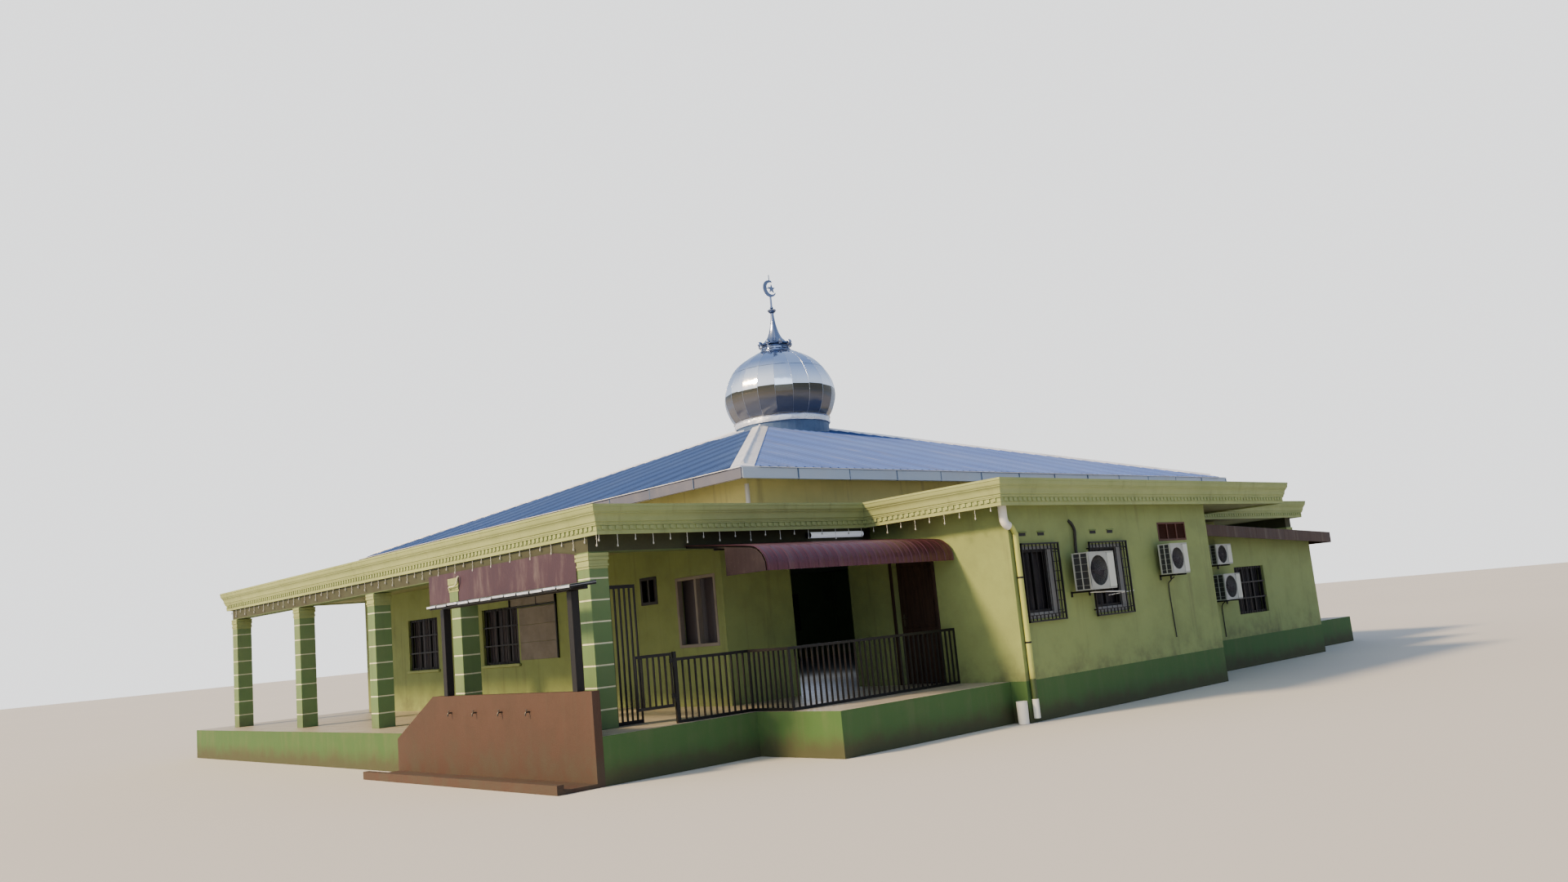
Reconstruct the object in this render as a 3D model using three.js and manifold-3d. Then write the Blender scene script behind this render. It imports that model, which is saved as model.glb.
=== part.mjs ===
// Single-storey mosque: a square hall under a low hipped metal roof with a steel-clad dome,
// ringed by a flat-roofed veranda with a moulded cornice, and a front room that stands forward.
// Millimetres, +Z up, +Y to the rear. The origin is at ground level under the dome's centre.
import * as THREE from 'three';
import { mergeVertices } from 'three/addons/utils/BufferGeometryUtils.js';
import Module from 'manifold-3d';

const wasm = await Module();
wasm.setup();

// Driving dimensions
const SEAT = 0.3; // clearance between pieces that meet
const WALL = 150;
const FLOOR = 630; // top of the raised floor
const SLAB_BOTTOM = 3350;
const SLAB_TOP = 3550;
const BEAM_BOTTOM = 3100;
const CORNICE_BOTTOM = 3320;

const HALL = { left: -8130, right: 8130, front: -6980, rear: 6980 };
const UPPER = { x: 7350, y: 6900, top: 4800 };
const RING = { x: 11040, y: 7880 }; // edge of the veranda's flat roof
const PLINTH = { x: 11610, y: 8530 };
const BLOCK = { left: -5230, right: 970, front: -10560, roofLeft: -5630, roofRight: 3750, roofFront: -10780 };
const BAY = { left: -8960, front: -10260 };
const WING = { right: 7950, front: -9380, topLeft: 3030, topRight: 2700 };

const EAVE = { x: 7950, y: 7500, z: 4400, sheet: 60, rise: 2380, ridge: 740 }; // ridge: half its length
const HIP = { halfWidth: 200, thick: 30, start: 220 };
const DOME_OPENING = 0.03; // share of each slope left out under the dome
const FASCIA = { thick: 30, deep: 190 };

const DRUM = { radius: 1185, wall: 40, bottom: 6300, top: 6880 };
const DOME_SKIN = 25;

const COLUMN = { size: 300, faces: [-7610, -3710, -330, 3410, 7310] };

const ENTRANCE_LEFT = -6630;
const LINTEL = 2900;
const DOOR = { front: -8920, rear: -8030, head: 2730, leaf: 40, gap: 8 };
const GATE = { left: -10910, right: -10300, bottom: 860, top: 1600, line: -8380, thick: 30 };
const RAIL_TOP = 1520;
const RAIL_LINE = { front: -9260, side: -8880 };

const COLOURS = {
  lime: 0xb9c46a,
  cornice: 0xc3c978,
  plinth: 0x4f7a35,
  concrete: 0x9a988c,
  column: 0x5f8a4c,
  roof: 0x5f7fa8,
  trim: 0xaeb6bd,
  steel: 0xc4ccd4,
  dark: 0x2b2a2c,
  glass: 0x26303a,
  red: 0x8e3b3f,
  maroon: 0x8f5a63,
  salmon: 0xd6936d,
  white: 0xdedfd8,
  timber: 0x6a4432,
  brown: 0x5a4138,
};

const mosque = new THREE.Group();

// Finishes and solids

function finish(colour, roughness = 0.8, metalness = 0) {
  return new THREE.MeshStandardMaterial({ color: colour, roughness, metalness });
}

function closed(geometry) {
  geometry.deleteAttribute('normal');
  geometry.deleteAttribute('uv');
  return mergeVertices(geometry, 0.001);
}

function solid(geometry) {
  const merged = closed(geometry);
  return new wasm.Manifold(
    new wasm.Mesh({
      numProp: 3,
      vertProperties: new Float32Array(merged.attributes.position.array),
      triVerts: new Uint32Array(merged.index.array),
    }),
  );
}

function surface(manifold) {
  const mesh = manifold.getMesh();
  const geometry = new THREE.BufferGeometry();
  geometry.setAttribute('position', new THREE.BufferAttribute(new Float32Array(mesh.vertProperties), 3));
  geometry.setIndex(new THREE.BufferAttribute(new Uint32Array(mesh.triVerts), 1));
  return geometry;
}

function joined(...geometries) {
  return surface(geometries.map(solid).reduce((sum, piece) => sum.add(piece)));
}

function cut(geometry, tools) {
  return surface(tools.map(solid).reduce((rest, tool) => rest.subtract(tool), solid(geometry)));
}

function add(name, geometry, material, parent = mosque) {
  const mesh = new THREE.Mesh(closed(geometry), material);
  mesh.name = name;
  parent.add(mesh);
  return mesh;
}

function box(x0, x1, y0, y1, z0, z1) {
  return new THREE.BoxGeometry(x1 - x0, y1 - y0, z1 - z0).translate((x0 + x1) / 2, (y0 + y1) / 2, (z0 + z1) / 2);
}

function outline(points) {
  return new THREE.Shape(points.map(([x, y]) => new THREE.Vector2(x, y)));
}

function hole(x0, x1, z0, z1) {
  return new THREE.Path([
    new THREE.Vector2(x0, z0),
    new THREE.Vector2(x0, z1),
    new THREE.Vector2(x1, z1),
    new THREE.Vector2(x1, z0),
  ]);
}

function plan(points, z0, z1) {
  return new THREE.ExtrudeGeometry(outline(points), { depth: z1 - z0, bevelEnabled: false }).translate(0, 0, z0);
}

// An outline drawn in X and Z, as thick as the gap from y0 to y1
function facing(shape, y0, y1) {
  const geometry = new THREE.ExtrudeGeometry(shape, { depth: y1 - y0, bevelEnabled: false, curveSegments: 6 });
  return geometry.rotateX(Math.PI / 2).translate(0, y1, 0);
}

// An outline drawn in Y and Z, as thick as the gap from x0 to x1
function sideways(shape, x0, x1) {
  const geometry = new THREE.ExtrudeGeometry(shape, { depth: x1 - x0, bevelEnabled: false, curveSegments: 6 });
  const turn = new THREE.Matrix4().set(0, 0, 1, x0, 1, 0, 0, 0, 0, 1, 0, 0, 0, 0, 0, 1);
  return geometry.applyMatrix4(turn);
}

// A wall along X or along Y, with a square opening for each [start, end, bottom, top]
const alongX = (a0, a1, b0, b1, z0, z1) => box(a0, a1, b0, b1, z0, z1);
const alongY = (a0, a1, b0, b1, z0, z1) => box(b0, b1, a0, a1, z0, z1);

function wall(along, a0, a1, b0, b1, z0, z1, openings = []) {
  const tools = openings.map(([o0, o1, low, high]) => along(o0, o1, b0 - 50, b1 + 50, low, high));
  return cut(along(a0, a1, b0, b1, z0, z1), tools);
}

// Upright bars between two rails, as one flat frame
function barred(along, a0, a1, b0, b1, z0, z1, pitch, bar, rail) {
  const bays = Math.max(1, Math.round((a1 - a0 - bar) / pitch));
  const step = (a1 - a0 - bar) / bays;
  const bars = Array.from({ length: bays + 1 }, (_, i) => {
    const start = a0 + i * step;
    return along(start, start + bar, b0, b1, z0 + 5, z1 - 5);
  });
  return joined(along(a0, a1, b0, b1, z0, z0 + rail), along(a0, a1, b0, b1, z1 - rail, z1), ...bars);
}

// One knuckle of a hinge with its strap, which reaches from the pin along dx and is as deep as dy
const KNUCKLE = { radius: 7, height: 60 };

function knuckle(x, y, z, dx, dy) {
  const { radius, height } = KNUCKLE;
  const barrel = new THREE.CylinderGeometry(radius, radius, height, 16).rotateX(Math.PI / 2);
  const strap = box(Math.min(x, x + dx), Math.max(x, x + dx), Math.min(y, y + dy), Math.max(y, y + dy), z, z + height);
  return joined(barrel.translate(x, y, z + height / 2), strap);
}

// The same pair of hinges as two lists of knuckles, the fixed ones just under the hung ones
function hinges(x, y, heights, fixed, hung) {
  const step = KNUCKLE.height + SEAT;
  return {
    fixed: heights.map((z) => knuckle(x, y, z, ...fixed)),
    hung: heights.map((z) => knuckle(x, y, z + step, ...hung)),
  };
}

// Raised floor on its plinth

function buildFloor() {
  const edge = [
    [-PLINTH.x + SEAT, -PLINTH.y],
    [BAY.left, -PLINTH.y],
    [BAY.left, BAY.front],
    [BLOCK.left, BAY.front],
    [BLOCK.left, BLOCK.front],
    [BLOCK.right, BLOCK.front],
    [BLOCK.right, WING.front],
    [WING.right, WING.front],
    [WING.right, -PLINTH.y],
    [PLINTH.x, -PLINTH.y],
    [PLINTH.x, PLINTH.y],
    [-PLINTH.x + SEAT, PLINTH.y],
  ];
  add('floor_platform', plan(edge, 0, FLOOR), finish(COLOURS.plinth));
}

// Hall

const LEFT_WINDOWS = [
  [-6800, -5730, 1590, 2760],
  [-5200, -4710, 2370, 2850],
  [-420, 1050, 1540, 2680],
  [3120, 4590, 1540, 2680],
];
const RIGHT_WINDOWS = [-4500, 0, 4500].map((y) => [y - 735, y + 735, 1540, 2680]);
const REAR_WINDOWS = [-5700, -1900, 1900, 5700].map((x) => [x - 600, x + 600, 1540, 2680]);
const WING_DOORWAY = [4000, 4900];

// One sheet of glass just inside a wall, a margin wider than the windows that it closes
function glassSheet(along, windows, b0, b1) {
  const margin = 25;
  const a0 = Math.min(...windows.map((w) => w[0])) - margin;
  const a1 = Math.max(...windows.map((w) => w[1])) + margin;
  const z0 = Math.min(...windows.map((w) => w[2])) - margin;
  const z1 = Math.max(...windows.map((w) => w[3])) + margin;
  return along(a0, a1, b0, b1, z0, z1);
}

const GLASS = 8;

function buildHallWalls() {
  const lime = finish(COLOURS.lime);
  const glass = finish(COLOURS.glass, 0.1);
  const base = FLOOR + SEAT;
  const top = SLAB_BOTTOM - SEAT;

  const left = HALL.left + WALL;
  const right = HALL.right - WALL;
  add('hall_wall_left', wall(alongY, HALL.front, HALL.rear, HALL.left, left, base, top, LEFT_WINDOWS), lime);
  add('hall_glass_left', glassSheet(alongY, LEFT_WINDOWS, left + SEAT, left + SEAT + GLASS), glass);
  add('hall_wall_right', wall(alongY, HALL.front, HALL.rear, right, HALL.right, base, top, RIGHT_WINDOWS), lime);
  add('hall_glass_right', glassSheet(alongY, RIGHT_WINDOWS, right - SEAT - GLASS, right - SEAT), glass);

  const inLeft = left + SEAT;
  const inRight = right - SEAT;
  const acrossX = (x0, x1, y0, z0, openings) => wall(alongX, x0, x1, y0, y0 + WALL, z0, top, openings);
  add('hall_wall_rear', acrossX(inLeft, inRight, HALL.rear - WALL, base, REAR_WINDOWS), lime);
  const rearGlass = HALL.rear - WALL - SEAT;
  add('hall_glass_rear', glassSheet(alongX, REAR_WINDOWS, rearGlass - GLASS, rearGlass), glass);

  const blockInner = BLOCK.right - WALL;
  add('hall_wall_front_left', acrossX(inLeft, ENTRANCE_LEFT, HALL.front, base), lime);
  const doorway = [[...WING_DOORWAY, base - 50, DOOR.head]];
  add('hall_wall_front_right', acrossX(blockInner + SEAT, inRight, HALL.front, base, doorway), lime);
  add('hall_lintel', acrossX(ENTRANCE_LEFT + SEAT, blockInner, HALL.front, LINTEL), lime);
}

function buildUpperWalls() {
  const { x, y, top } = UPPER;
  const ring = outline([[-x, -y], [x, -y], [x, y], [-x, y]]);
  const inner = hole(-x + WALL, x - WALL, -y + WALL, y - WALL);
  ring.holes.push(inner);
  const depth = top - SLAB_TOP - SEAT;
  const walls = new THREE.ExtrudeGeometry(ring, { depth, bevelEnabled: false }).translate(0, 0, SLAB_TOP + SEAT);
  const under = roofBody(-EAVE.sheet - SEAT);
  add('upper_walls', surface(solid(walls).intersect(under)), finish(COLOURS.lime));
}

// Flat roof of the veranda, the front room and the porch

function buildFlatRoofs() {
  const grey = finish(COLOURS.concrete);
  const innerX = UPPER.x - WALL;
  const innerY = UPPER.y - WALL;
  const slab = (points) => plan(points, SLAB_BOTTOM, SLAB_TOP);
  const sideSlab = (from, to) => slab([[from, -RING.y], [to, -RING.y], [to, RING.y], [from, RING.y]]);
  add('flat_roof_left', sideSlab(-RING.x, -innerX), grey);
  add('flat_roof_right', sideSlab(innerX, RING.x), grey);
  const side = innerX - SEAT;
  add(
    'flat_roof_front',
    slab([
      [-side, -RING.y],
      [BLOCK.roofLeft, -RING.y],
      [BLOCK.roofLeft, BLOCK.roofFront],
      [BLOCK.roofRight, BLOCK.roofFront],
      [BLOCK.roofRight, -RING.y],
      [side, -RING.y],
      [side, -innerY],
      [-side, -innerY],
    ]),
    grey,
  );
  add('flat_roof_rear', slab([[-side, innerY], [side, innerY], [side, RING.y], [-side, RING.y]]), grey);
}

// Cornice: the section is drawn as (distance out from the roof's edge, height)

function corniceSection() {
  const section = new THREE.Shape();
  section.moveTo(SEAT, CORNICE_BOTTOM);
  section.lineTo(40, CORNICE_BOTTOM);
  section.lineTo(40, 3400);
  section.lineTo(55, 3400);
  section.lineTo(55, 3480);
  section.lineTo(80, 3500);
  section.quadraticCurveTo(84, 3590, 115, 3620);
  section.quadraticCurveTo(142, 3650, 142, 3700);
  section.lineTo(150, 3700);
  section.lineTo(150, 3740);
  section.lineTo(60, 3740);
  section.lineTo(SEAT, 3600);
  return section;
}

// The section carried along the roof's edge, which lies on the left of the run, and mitred at each
// corner. A corner is [x, y, outward x, outward y], the outward pair being the mitre's offset.
function moulding(corners) {
  const geometry = new THREE.ExtrudeGeometry(corniceSection(), {
    depth: corners.length - 1,
    steps: corners.length - 1,
    bevelEnabled: false,
    curveSegments: 5,
  });
  const position = geometry.attributes.position;
  for (let i = 0; i < position.count; i += 1) {
    const [x, y, outX, outY] = corners[Math.round(position.getZ(i))];
    const out = position.getX(i);
    position.setXYZ(i, x + outX * out, y + outY * out, position.getY(i));
  }
  return geometry;
}

function buildCornice() {
  const lime = finish(COLOURS.cornice);
  const { x, y } = RING;
  const { roofLeft, roofRight, roofFront } = BLOCK;
  const g = SEAT / 2;
  add('cornice_left', moulding([[-x, -y + g, -1, -1], [-x, y - g, -1, 1]]), lime);
  add(
    'cornice_front',
    moulding([
      [x - g, -y, 1, -1],
      [roofRight, -y, 1, -1],
      [roofRight, roofFront, 1, -1],
      [roofLeft, roofFront, -1, -1],
      [roofLeft, -y, -1, -1],
      [-x + g, -y, -1, -1],
    ]),
    lime,
  );
  add('cornice_right', moulding([[x, y - g, 1, 1], [x, -y + g, 1, -1]]), lime);
  add('cornice_rear', moulding([[-x + g, y, -1, 1], [x - g, y, 1, 1]]), lime);
}

// Veranda columns, cast in one with the beam that they carry

function colonnade(x0, x1) {
  const { size, faces } = COLUMN;
  const base = FLOOR + SEAT;
  const top = SLAB_BOTTOM - SEAT;
  const ends = [faces[0], faces[faces.length - 1] + size];
  const frame = [[ends[1], top], [ends[0], top]];
  faces.forEach((face, i) => {
    frame.push([face, i === 0 ? base : BEAM_BOTTOM], [face, base], [face + size, base]);
    frame.push([face + size, i === faces.length - 1 ? base : BEAM_BOTTOM]);
  });
  const points = frame.filter(([a, z], i) => i === 0 || a !== frame[i - 1][0] || z !== frame[i - 1][1]);
  return sideways(outline(points), x0, x1);
}

function buildVeranda() {
  const green = finish(COLOURS.column);
  const outer = RING.x;
  const inner = outer - COLUMN.size;
  const line = COLUMN.faces[0];
  add('colonnade_left', colonnade(-outer, -inner), green);
  add('colonnade_right', colonnade(inner, outer), green);
  const beamTop = SLAB_BOTTOM - SEAT;
  const beam = box(-inner + SEAT, BLOCK.left - SEAT, line, line + COLUMN.size, BEAM_BOTTOM, beamTop);
  add('porch_beam', beam, green);
}

// Hipped roof

// Everything under the roof's top surface raised by the lift, down to well below the eave
function roofBody(lift) {
  const below = 1000;
  const share = (EAVE.rise + below) / EAVE.rise;
  const foot = EAVE.z - below + lift;
  const head = EAVE.z + EAVE.rise + lift;
  const wideX = EAVE.ridge + (EAVE.x - EAVE.ridge) * share;
  const wideY = EAVE.y * share;
  const acrossY = sideways(outline([[-wideY, foot], [wideY, foot], [0, head]]), -wideX, wideX);
  const ends = [[-wideX, foot], [wideX, foot], [EAVE.ridge, head], [-EAVE.ridge, head]];
  const acrossX = facing(outline(ends), -wideY, wideY);
  return solid(acrossY).intersect(solid(acrossX));
}

function roofHeight(x, y) {
  const acrossX = (EAVE.x - Math.abs(x)) / (EAVE.x - EAVE.ridge);
  const acrossY = (EAVE.y - Math.abs(y)) / EAVE.y;
  return EAVE.z + EAVE.rise * Math.min(acrossX, acrossY);
}

// One slope, drawn in plan and then lifted so that it climbs to the ridge
function slope(points) {
  const geometry = plan(points, -EAVE.sheet, 0);
  const position = geometry.attributes.position;
  for (let i = 0; i < position.count; i += 1) {
    const lift = roofHeight(position.getX(i), position.getY(i));
    position.setZ(i, position.getZ(i) + lift);
  }
  return geometry;
}

// The bent strip over a hip, from near the eave's corner to the dome's foot
function hipCap(signX, signY, grow) {
  const half = HIP.halfWidth + grow;
  const corner = [signX * EAVE.x, signY * EAVE.y];
  const toRidge = [-signX * (EAVE.x - EAVE.ridge), -signY * EAVE.y];
  const run = Math.hypot(...toRidge);
  const along = toRidge.map((d) => d / run);
  const across = [-along[1], along[0]];
  const foot = SEAT - grow;
  const middle = corner.map((c, i) => c + toRidge[i] / 2);
  const drop = (t) => roofHeight(middle[0] + across[0] * t, middle[1] + across[1] * t) - roofHeight(...middle);
  const section = outline([
    [-half, drop(-half) + foot],
    [0, foot],
    [half, drop(half) + foot],
    [half, drop(half) + HIP.thick + grow],
    [0, HIP.thick + grow],
    [-half, drop(-half) + HIP.thick + grow],
  ]);
  const strip = new THREE.ExtrudeGeometry(section, { depth: 1, bevelEnabled: false });
  const start = corner.map((c, i) => c + along[i] * HIP.start);
  const length = run * (1 - DOME_OPENING) - HIP.start;
  const climb = EAVE.rise / run;
  const place = new THREE.Matrix4().set(
    across[0], 0, along[0] * length, start[0],
    across[1], 0, along[1] * length, start[1],
    0, 1, climb * length, EAVE.z + climb * HIP.start,
    0, 0, 0, 1,
  );
  return strip.applyMatrix4(place);
}

const HIPS = { front_left: [-1, -1], front_right: [1, -1], rear_right: [1, 1], rear_left: [-1, 1] };

function buildRoof() {
  const blue = finish(COLOURS.roof, 0.45, 0.3);
  const trim = finish(COLOURS.trim, 0.5, 0.4);
  const { x, y, ridge } = EAVE;
  const headX = ridge + (x - ridge) * DOME_OPENING;
  const headY = y * DOME_OPENING;
  const g = SEAT;
  const front = [[-x + g, -y], [x - g, -y], [headX - g, -headY], [-headX + g, -headY]];
  const right = [[x, -y + g], [x, y - g], [headX, headY - g], [headX, -headY + g]];
  const turned = (points) => points.map(([a, b]) => [-a, -b]);
  add('roof_front', slope(front), blue);
  add('roof_right', slope(right), blue);
  add('roof_rear', slope(turned(front)), blue);
  add('roof_left', slope(turned(right)), blue);
  for (const [name, [signX, signY]] of Object.entries(HIPS)) {
    add(`hip_cap_${name}`, hipCap(signX, signY, 0), trim);
  }
  const ring = outline([[-1, -1], [1, -1], [1, 1], [-1, 1]].map(([a, b]) => [
    a * (x + FASCIA.thick),
    b * (y + FASCIA.thick),
  ]));
  ring.holes.push(hole(-x - g, x + g, -y - g, y + g));
  const fascia = new THREE.ExtrudeGeometry(ring, { depth: FASCIA.deep, bevelEnabled: false });
  add('eave_fascia', fascia.translate(0, 0, EAVE.z - FASCIA.deep), trim);
}

// Dome and finial

function turnedShape(profile, segments) {
  const points = profile.map(([r, z]) => new THREE.Vector2(r, z));
  return new THREE.LatheGeometry(points, segments).rotateX(Math.PI / 2);
}

function buildDrum() {
  const { radius, wall, bottom, top } = DRUM;
  const ring = turnedShape(
    [[radius - wall, bottom], [radius, bottom], [radius, top - SEAT], [radius - wall, top - SEAT], [radius - wall, bottom]],
    40,
  );
  let drum = solid(ring).subtract(roofBody(SEAT));
  for (const [signX, signY] of Object.values(HIPS)) {
    drum = drum.subtract(solid(hipCap(signX, signY, 1)));
  }
  add('dome_drum', surface(drum), finish(COLOURS.steel, 0.3, 0.8));
}

// Outer radius of the onion dome at each height above its foot
const DOME_OUTLINE = [
  [1180, 0], [1285, 150], [1360, 330], [1408, 500], [1420, 650], [1400, 830],
  [1350, 1000], [1250, 1200], [1100, 1410], [870, 1600], [505, 1800], [400, 1830],
];

function buildDome() {
  const steel = finish(COLOURS.steel, 0.15, 1);
  const curve = new THREE.SplineCurve(DOME_OUTLINE.map(([r, z]) => new THREE.Vector2(r, z + DRUM.top)));
  const outer = curve.getPoints(22);
  const inner = outer.map((p) => new THREE.Vector2(p.x - DOME_SKIN, p.y)).reverse();
  const profile = [...outer, ...inner, outer[0]].map((p) => [p.x, p.y]);
  add('dome_shell', turnedShape(profile, 40), steel);

  const base = outer[outer.length - 1].y + SEAT;
  const finial = [
    [0, base], [405, base], [410, base + 30], [360, base + 50], [360, base + 110], [380, base + 140],
    [430, base + 195], [425, base + 225], [310, base + 260], [200, base + 370], [115, base + 570],
    [62, base + 820], [40, base + 1050], [110, base + 1105], [110, base + 1135], [30, base + 1150],
    [24, base + 1480], [0, base + 1480],
  ];
  add('dome_finial', turnedShape(finial, 24), steel);
  buildCrescent(base + 1480 + SEAT, steel);
}

function buildCrescent(foot, steel) {
  const radius = 225;
  const middle = radius + 6;
  const moon = new THREE.Shape();
  const start = -0.2 * Math.PI;
  moon.absarc(0, middle, radius, start, 0.42 * Math.PI - 2 * Math.PI, true);
  const inside = 168;
  moon.absarc(48, middle + 10, inside, 0.42 * Math.PI - 2 * Math.PI, start, false);
  const points = 5;
  const starCorners = Array.from({ length: points * 2 }, (_, i) => {
    const angle = Math.PI / 2 + (i * Math.PI) / points;
    const r = i % 2 === 0 ? 125 : 50;
    return [60 + r * Math.cos(angle), middle + r * Math.sin(angle)];
  });
  const star = outline(starCorners);
  const thick = 24;
  const tip = box(-8, 8, -8, 8, 2 * radius - 60, 2 * radius + 150);
  const bar = box(-150, 130, -9, 9, middle - 9, middle + 9);
  const stem = box(-20, 20, -12, 12, 0, 60);
  const badge = joined(
    facing(moon, -thick / 2, thick / 2),
    facing(star, -thick / 2 + 4, thick / 2 - 4),
    bar,
    tip,
    stem,
  );
  const mesh = add('crescent_and_star', badge, steel);
  mesh.position.set(0, 0, foot);
}

// Front room

const FRONT_WINDOWS = [[-4980, -4080, 1550, 2700], [-3100, -2060, 1530, 2680]];
const LOUVRE = [-810, 170, 2680, 3020];

function buildFrontRoom() {
  const lime = finish(COLOURS.lime);
  const glass = finish(COLOURS.glass, 0.1);
  const base = FLOOR + SEAT;
  const top = SLAB_BOTTOM - SEAT;
  const { left, right, front } = BLOCK;
  const inner = front + WALL;

  const openings = [...FRONT_WINDOWS, LOUVRE];
  add('front_room_wall_front', wall(alongX, left, right, front, inner, base, top, openings), lime);
  const sheetFront = inner + SEAT;
  add('front_room_glass', glassSheet(alongX, openings, sheetFront, sheetFront + GLASS), glass);

  const sidePiece = (y0, y1, low) => box(left, left + WALL, y0, y1, low, top);
  const jamb = sidePiece(inner + SEAT, DOOR.front, base);
  add('front_room_wall_left_front', joined(jamb, ...DOOR_HINGES.fixed), lime);
  add('front_room_wall_left_rear', sidePiece(DOOR.rear, HALL.front - SEAT, base), lime);
  add('front_room_door_lintel', sidePiece(DOOR.front + SEAT, DOOR.rear - SEAT, DOOR.head), lime);
  add('front_room_wall_right', box(right - WALL, right, inner + SEAT, HALL.front - SEAT, base, top), lime);
}

const DOOR_HINGES = hinges(BLOCK.left + WALL + 12, DOOR.front + 2, [900, 2300], [-17, -54], [-17, 50]);

function buildDoor() {
  const inside = BLOCK.left + WALL;
  const { front, rear, head, leaf, gap } = DOOR;
  const panel = box(inside - leaf, inside - SEAT, front + gap, rear - gap, FLOOR + gap, head - gap);
  add('front_room_door', joined(panel, ...DOOR_HINGES.hung), finish(COLOURS.timber, 0.6));
}

// Wing to the right of the front room

const WING_WINDOW = [4120, 5450, 1110, 2120];

function wingTop(x) {
  const run = WING.right - BLOCK.right;
  return WING.topLeft + ((WING.topRight - WING.topLeft) * (x - BLOCK.right)) / run;
}

function buildWing() {
  const lime = finish(COLOURS.lime);
  const base = FLOOR + SEAT;
  const left = BLOCK.right + SEAT;
  const { right, front } = WING;
  const face = outline([[left, base], [right, base], [right, wingTop(right)], [left, wingTop(left)]]);
  face.holes.push(hole(...WING_WINDOW));
  add('wing_wall_front', facing(face, front, front + WALL), lime);
  const sheetFront = front + WALL + SEAT;
  const glass = glassSheet(alongX, [WING_WINDOW], sheetFront, sheetFront + GLASS);
  add('wing_glass', glass, finish(COLOURS.glass, 0.1));
  const sideTop = wingTop(right) - SEAT;
  add('wing_wall_right', box(right - WALL, right, front + WALL + SEAT, HALL.front - SEAT, base, sideTop), lime);

  const sheet = 60;
  const overhang = 350;
  const end = right + overhang;
  const low = (x) => wingTop(x) + SEAT;
  const roof = outline([[left, low(left)], [end, low(end)], [end, low(end) + sheet], [left, low(left) + sheet]]);
  add('wing_roof', facing(roof, front - overhang, HALL.front - SEAT), finish(COLOURS.brown));
}

// Porch: railings, gate, steel grille and the red awning

const GATE_HINGES = hinges(GATE.right + 12, GATE.line - 12, [920, 1400], [54, 15], [-54, 15]);

function buildPorch() {
  const dark = finish(COLOURS.dark, 0.5, 0.4);
  const base = FLOOR + SEAT;
  const thick = 30;
  const pitch = 110;
  const bar = 16;
  const rail = 40;
  const { front, side } = RAIL_LINE;

  const railing = (along, a0, a1, b0) => barred(along, a0, a1, b0, b0 + thick, base, RAIL_TOP, pitch, bar, rail);
  const post = GATE.right + 75;
  const first = joined(
    railing(alongX, post, side, GATE.line),
    box(GATE.right + 30, post + 5, GATE.line - 5, GATE.line + thick + 5, base, RAIL_TOP + 90),
    ...GATE_HINGES.fixed,
  );
  add('porch_railing_front', first, dark);
  add('porch_railing_side', railing(alongY, front, GATE.line - SEAT, side - thick), dark);
  add('porch_railing_bay', railing(alongX, side + SEAT, BLOCK.left - SEAT, front), dark);

  const grilleLeft = -RING.x + COLUMN.size + SEAT;
  add('porch_grille', barred(alongX, grilleLeft, -10200, -7480, -7450, base, 2620, 90, 18, 50), dark);

  const { left, right, bottom, top, line } = GATE;
  const leaf = barred(alongX, left, right, line, line + GATE.thick, bottom, top, 100, 16, 40);
  add('porch_gate', joined(leaf, ...GATE_HINGES.hung), dark);
}

function buildAwning() {
  const line = COLUMN.faces[0] - SEAT;
  const profile = new THREE.Shape();
  profile.moveTo(line, 3140);
  profile.lineTo(-9130, 2975);
  profile.quadraticCurveTo(-9450, 2930, -9450, 2700);
  profile.lineTo(-9450, 2600);
  profile.lineTo(-9420, 2600);
  profile.lineTo(-9420, 2700);
  profile.quadraticCurveTo(-9420, 2900, -9130, 2945);
  profile.lineTo(line, 3110);
  const cheek = outline([[-9430, 2600], [-8550, 2600], [-8550, 3015], [-9130, 2955], [-9300, 2910], [-9430, 2700]]);
  const sheet = sideways(profile, -9330, BLOCK.left - SEAT);
  add('porch_awning', joined(sheet, sideways(cheek, -9330, -9300)), finish(COLOURS.red, 0.5));
}

function buildBlind() {
  const panel = box(-RING.x - 28, -RING.x - SEAT, -7310, -2650, 2700, 3190);
  add('veranda_blind', panel, finish(COLOURS.maroon));
}

// Wash place on the left side

function buildWashPlace() {
  const salmon = finish(COLOURS.salmon);
  const wallOut = -PLINTH.x - 120;
  const near = -PLINTH.y;
  const far = -2630;
  const top = 1220;
  const face = outline([[near, 0], [far, 0], [far, 560], [-3980, top], [near, top]]);
  const trough = plan([[wallOut - 600, near], [wallOut + 10, near], [wallOut + 10, far], [wallOut - 600, far]], 0, 50);
  const kerb = box(wallOut - 600, wallOut - 500, near, far, 0, 120);
  add('wash_wall', joined(sideways(face, wallOut, wallOut + 120), trough, kerb), salmon);

  const steel = finish(COLOURS.trim, 0.5, 0.6);
  const outEdge = -11930;
  const inEdge = -11520;
  const sheet = outline([[outEdge, 2590], [inEdge, 2625], [inEdge, 2637], [outEdge, 2602]]);
  const posts = [-8180, -4480].map((y) => box(-11720, -11620, y, y + 100, top + SEAT, 2600));
  const rail = box(-11720, -11620, -8480, -4380, 2550, 2618);
  add('wash_roof', joined(facing(sheet, -8500, -4330), rail, ...posts), steel);
}

// Room coolers on their wall brackets

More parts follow.
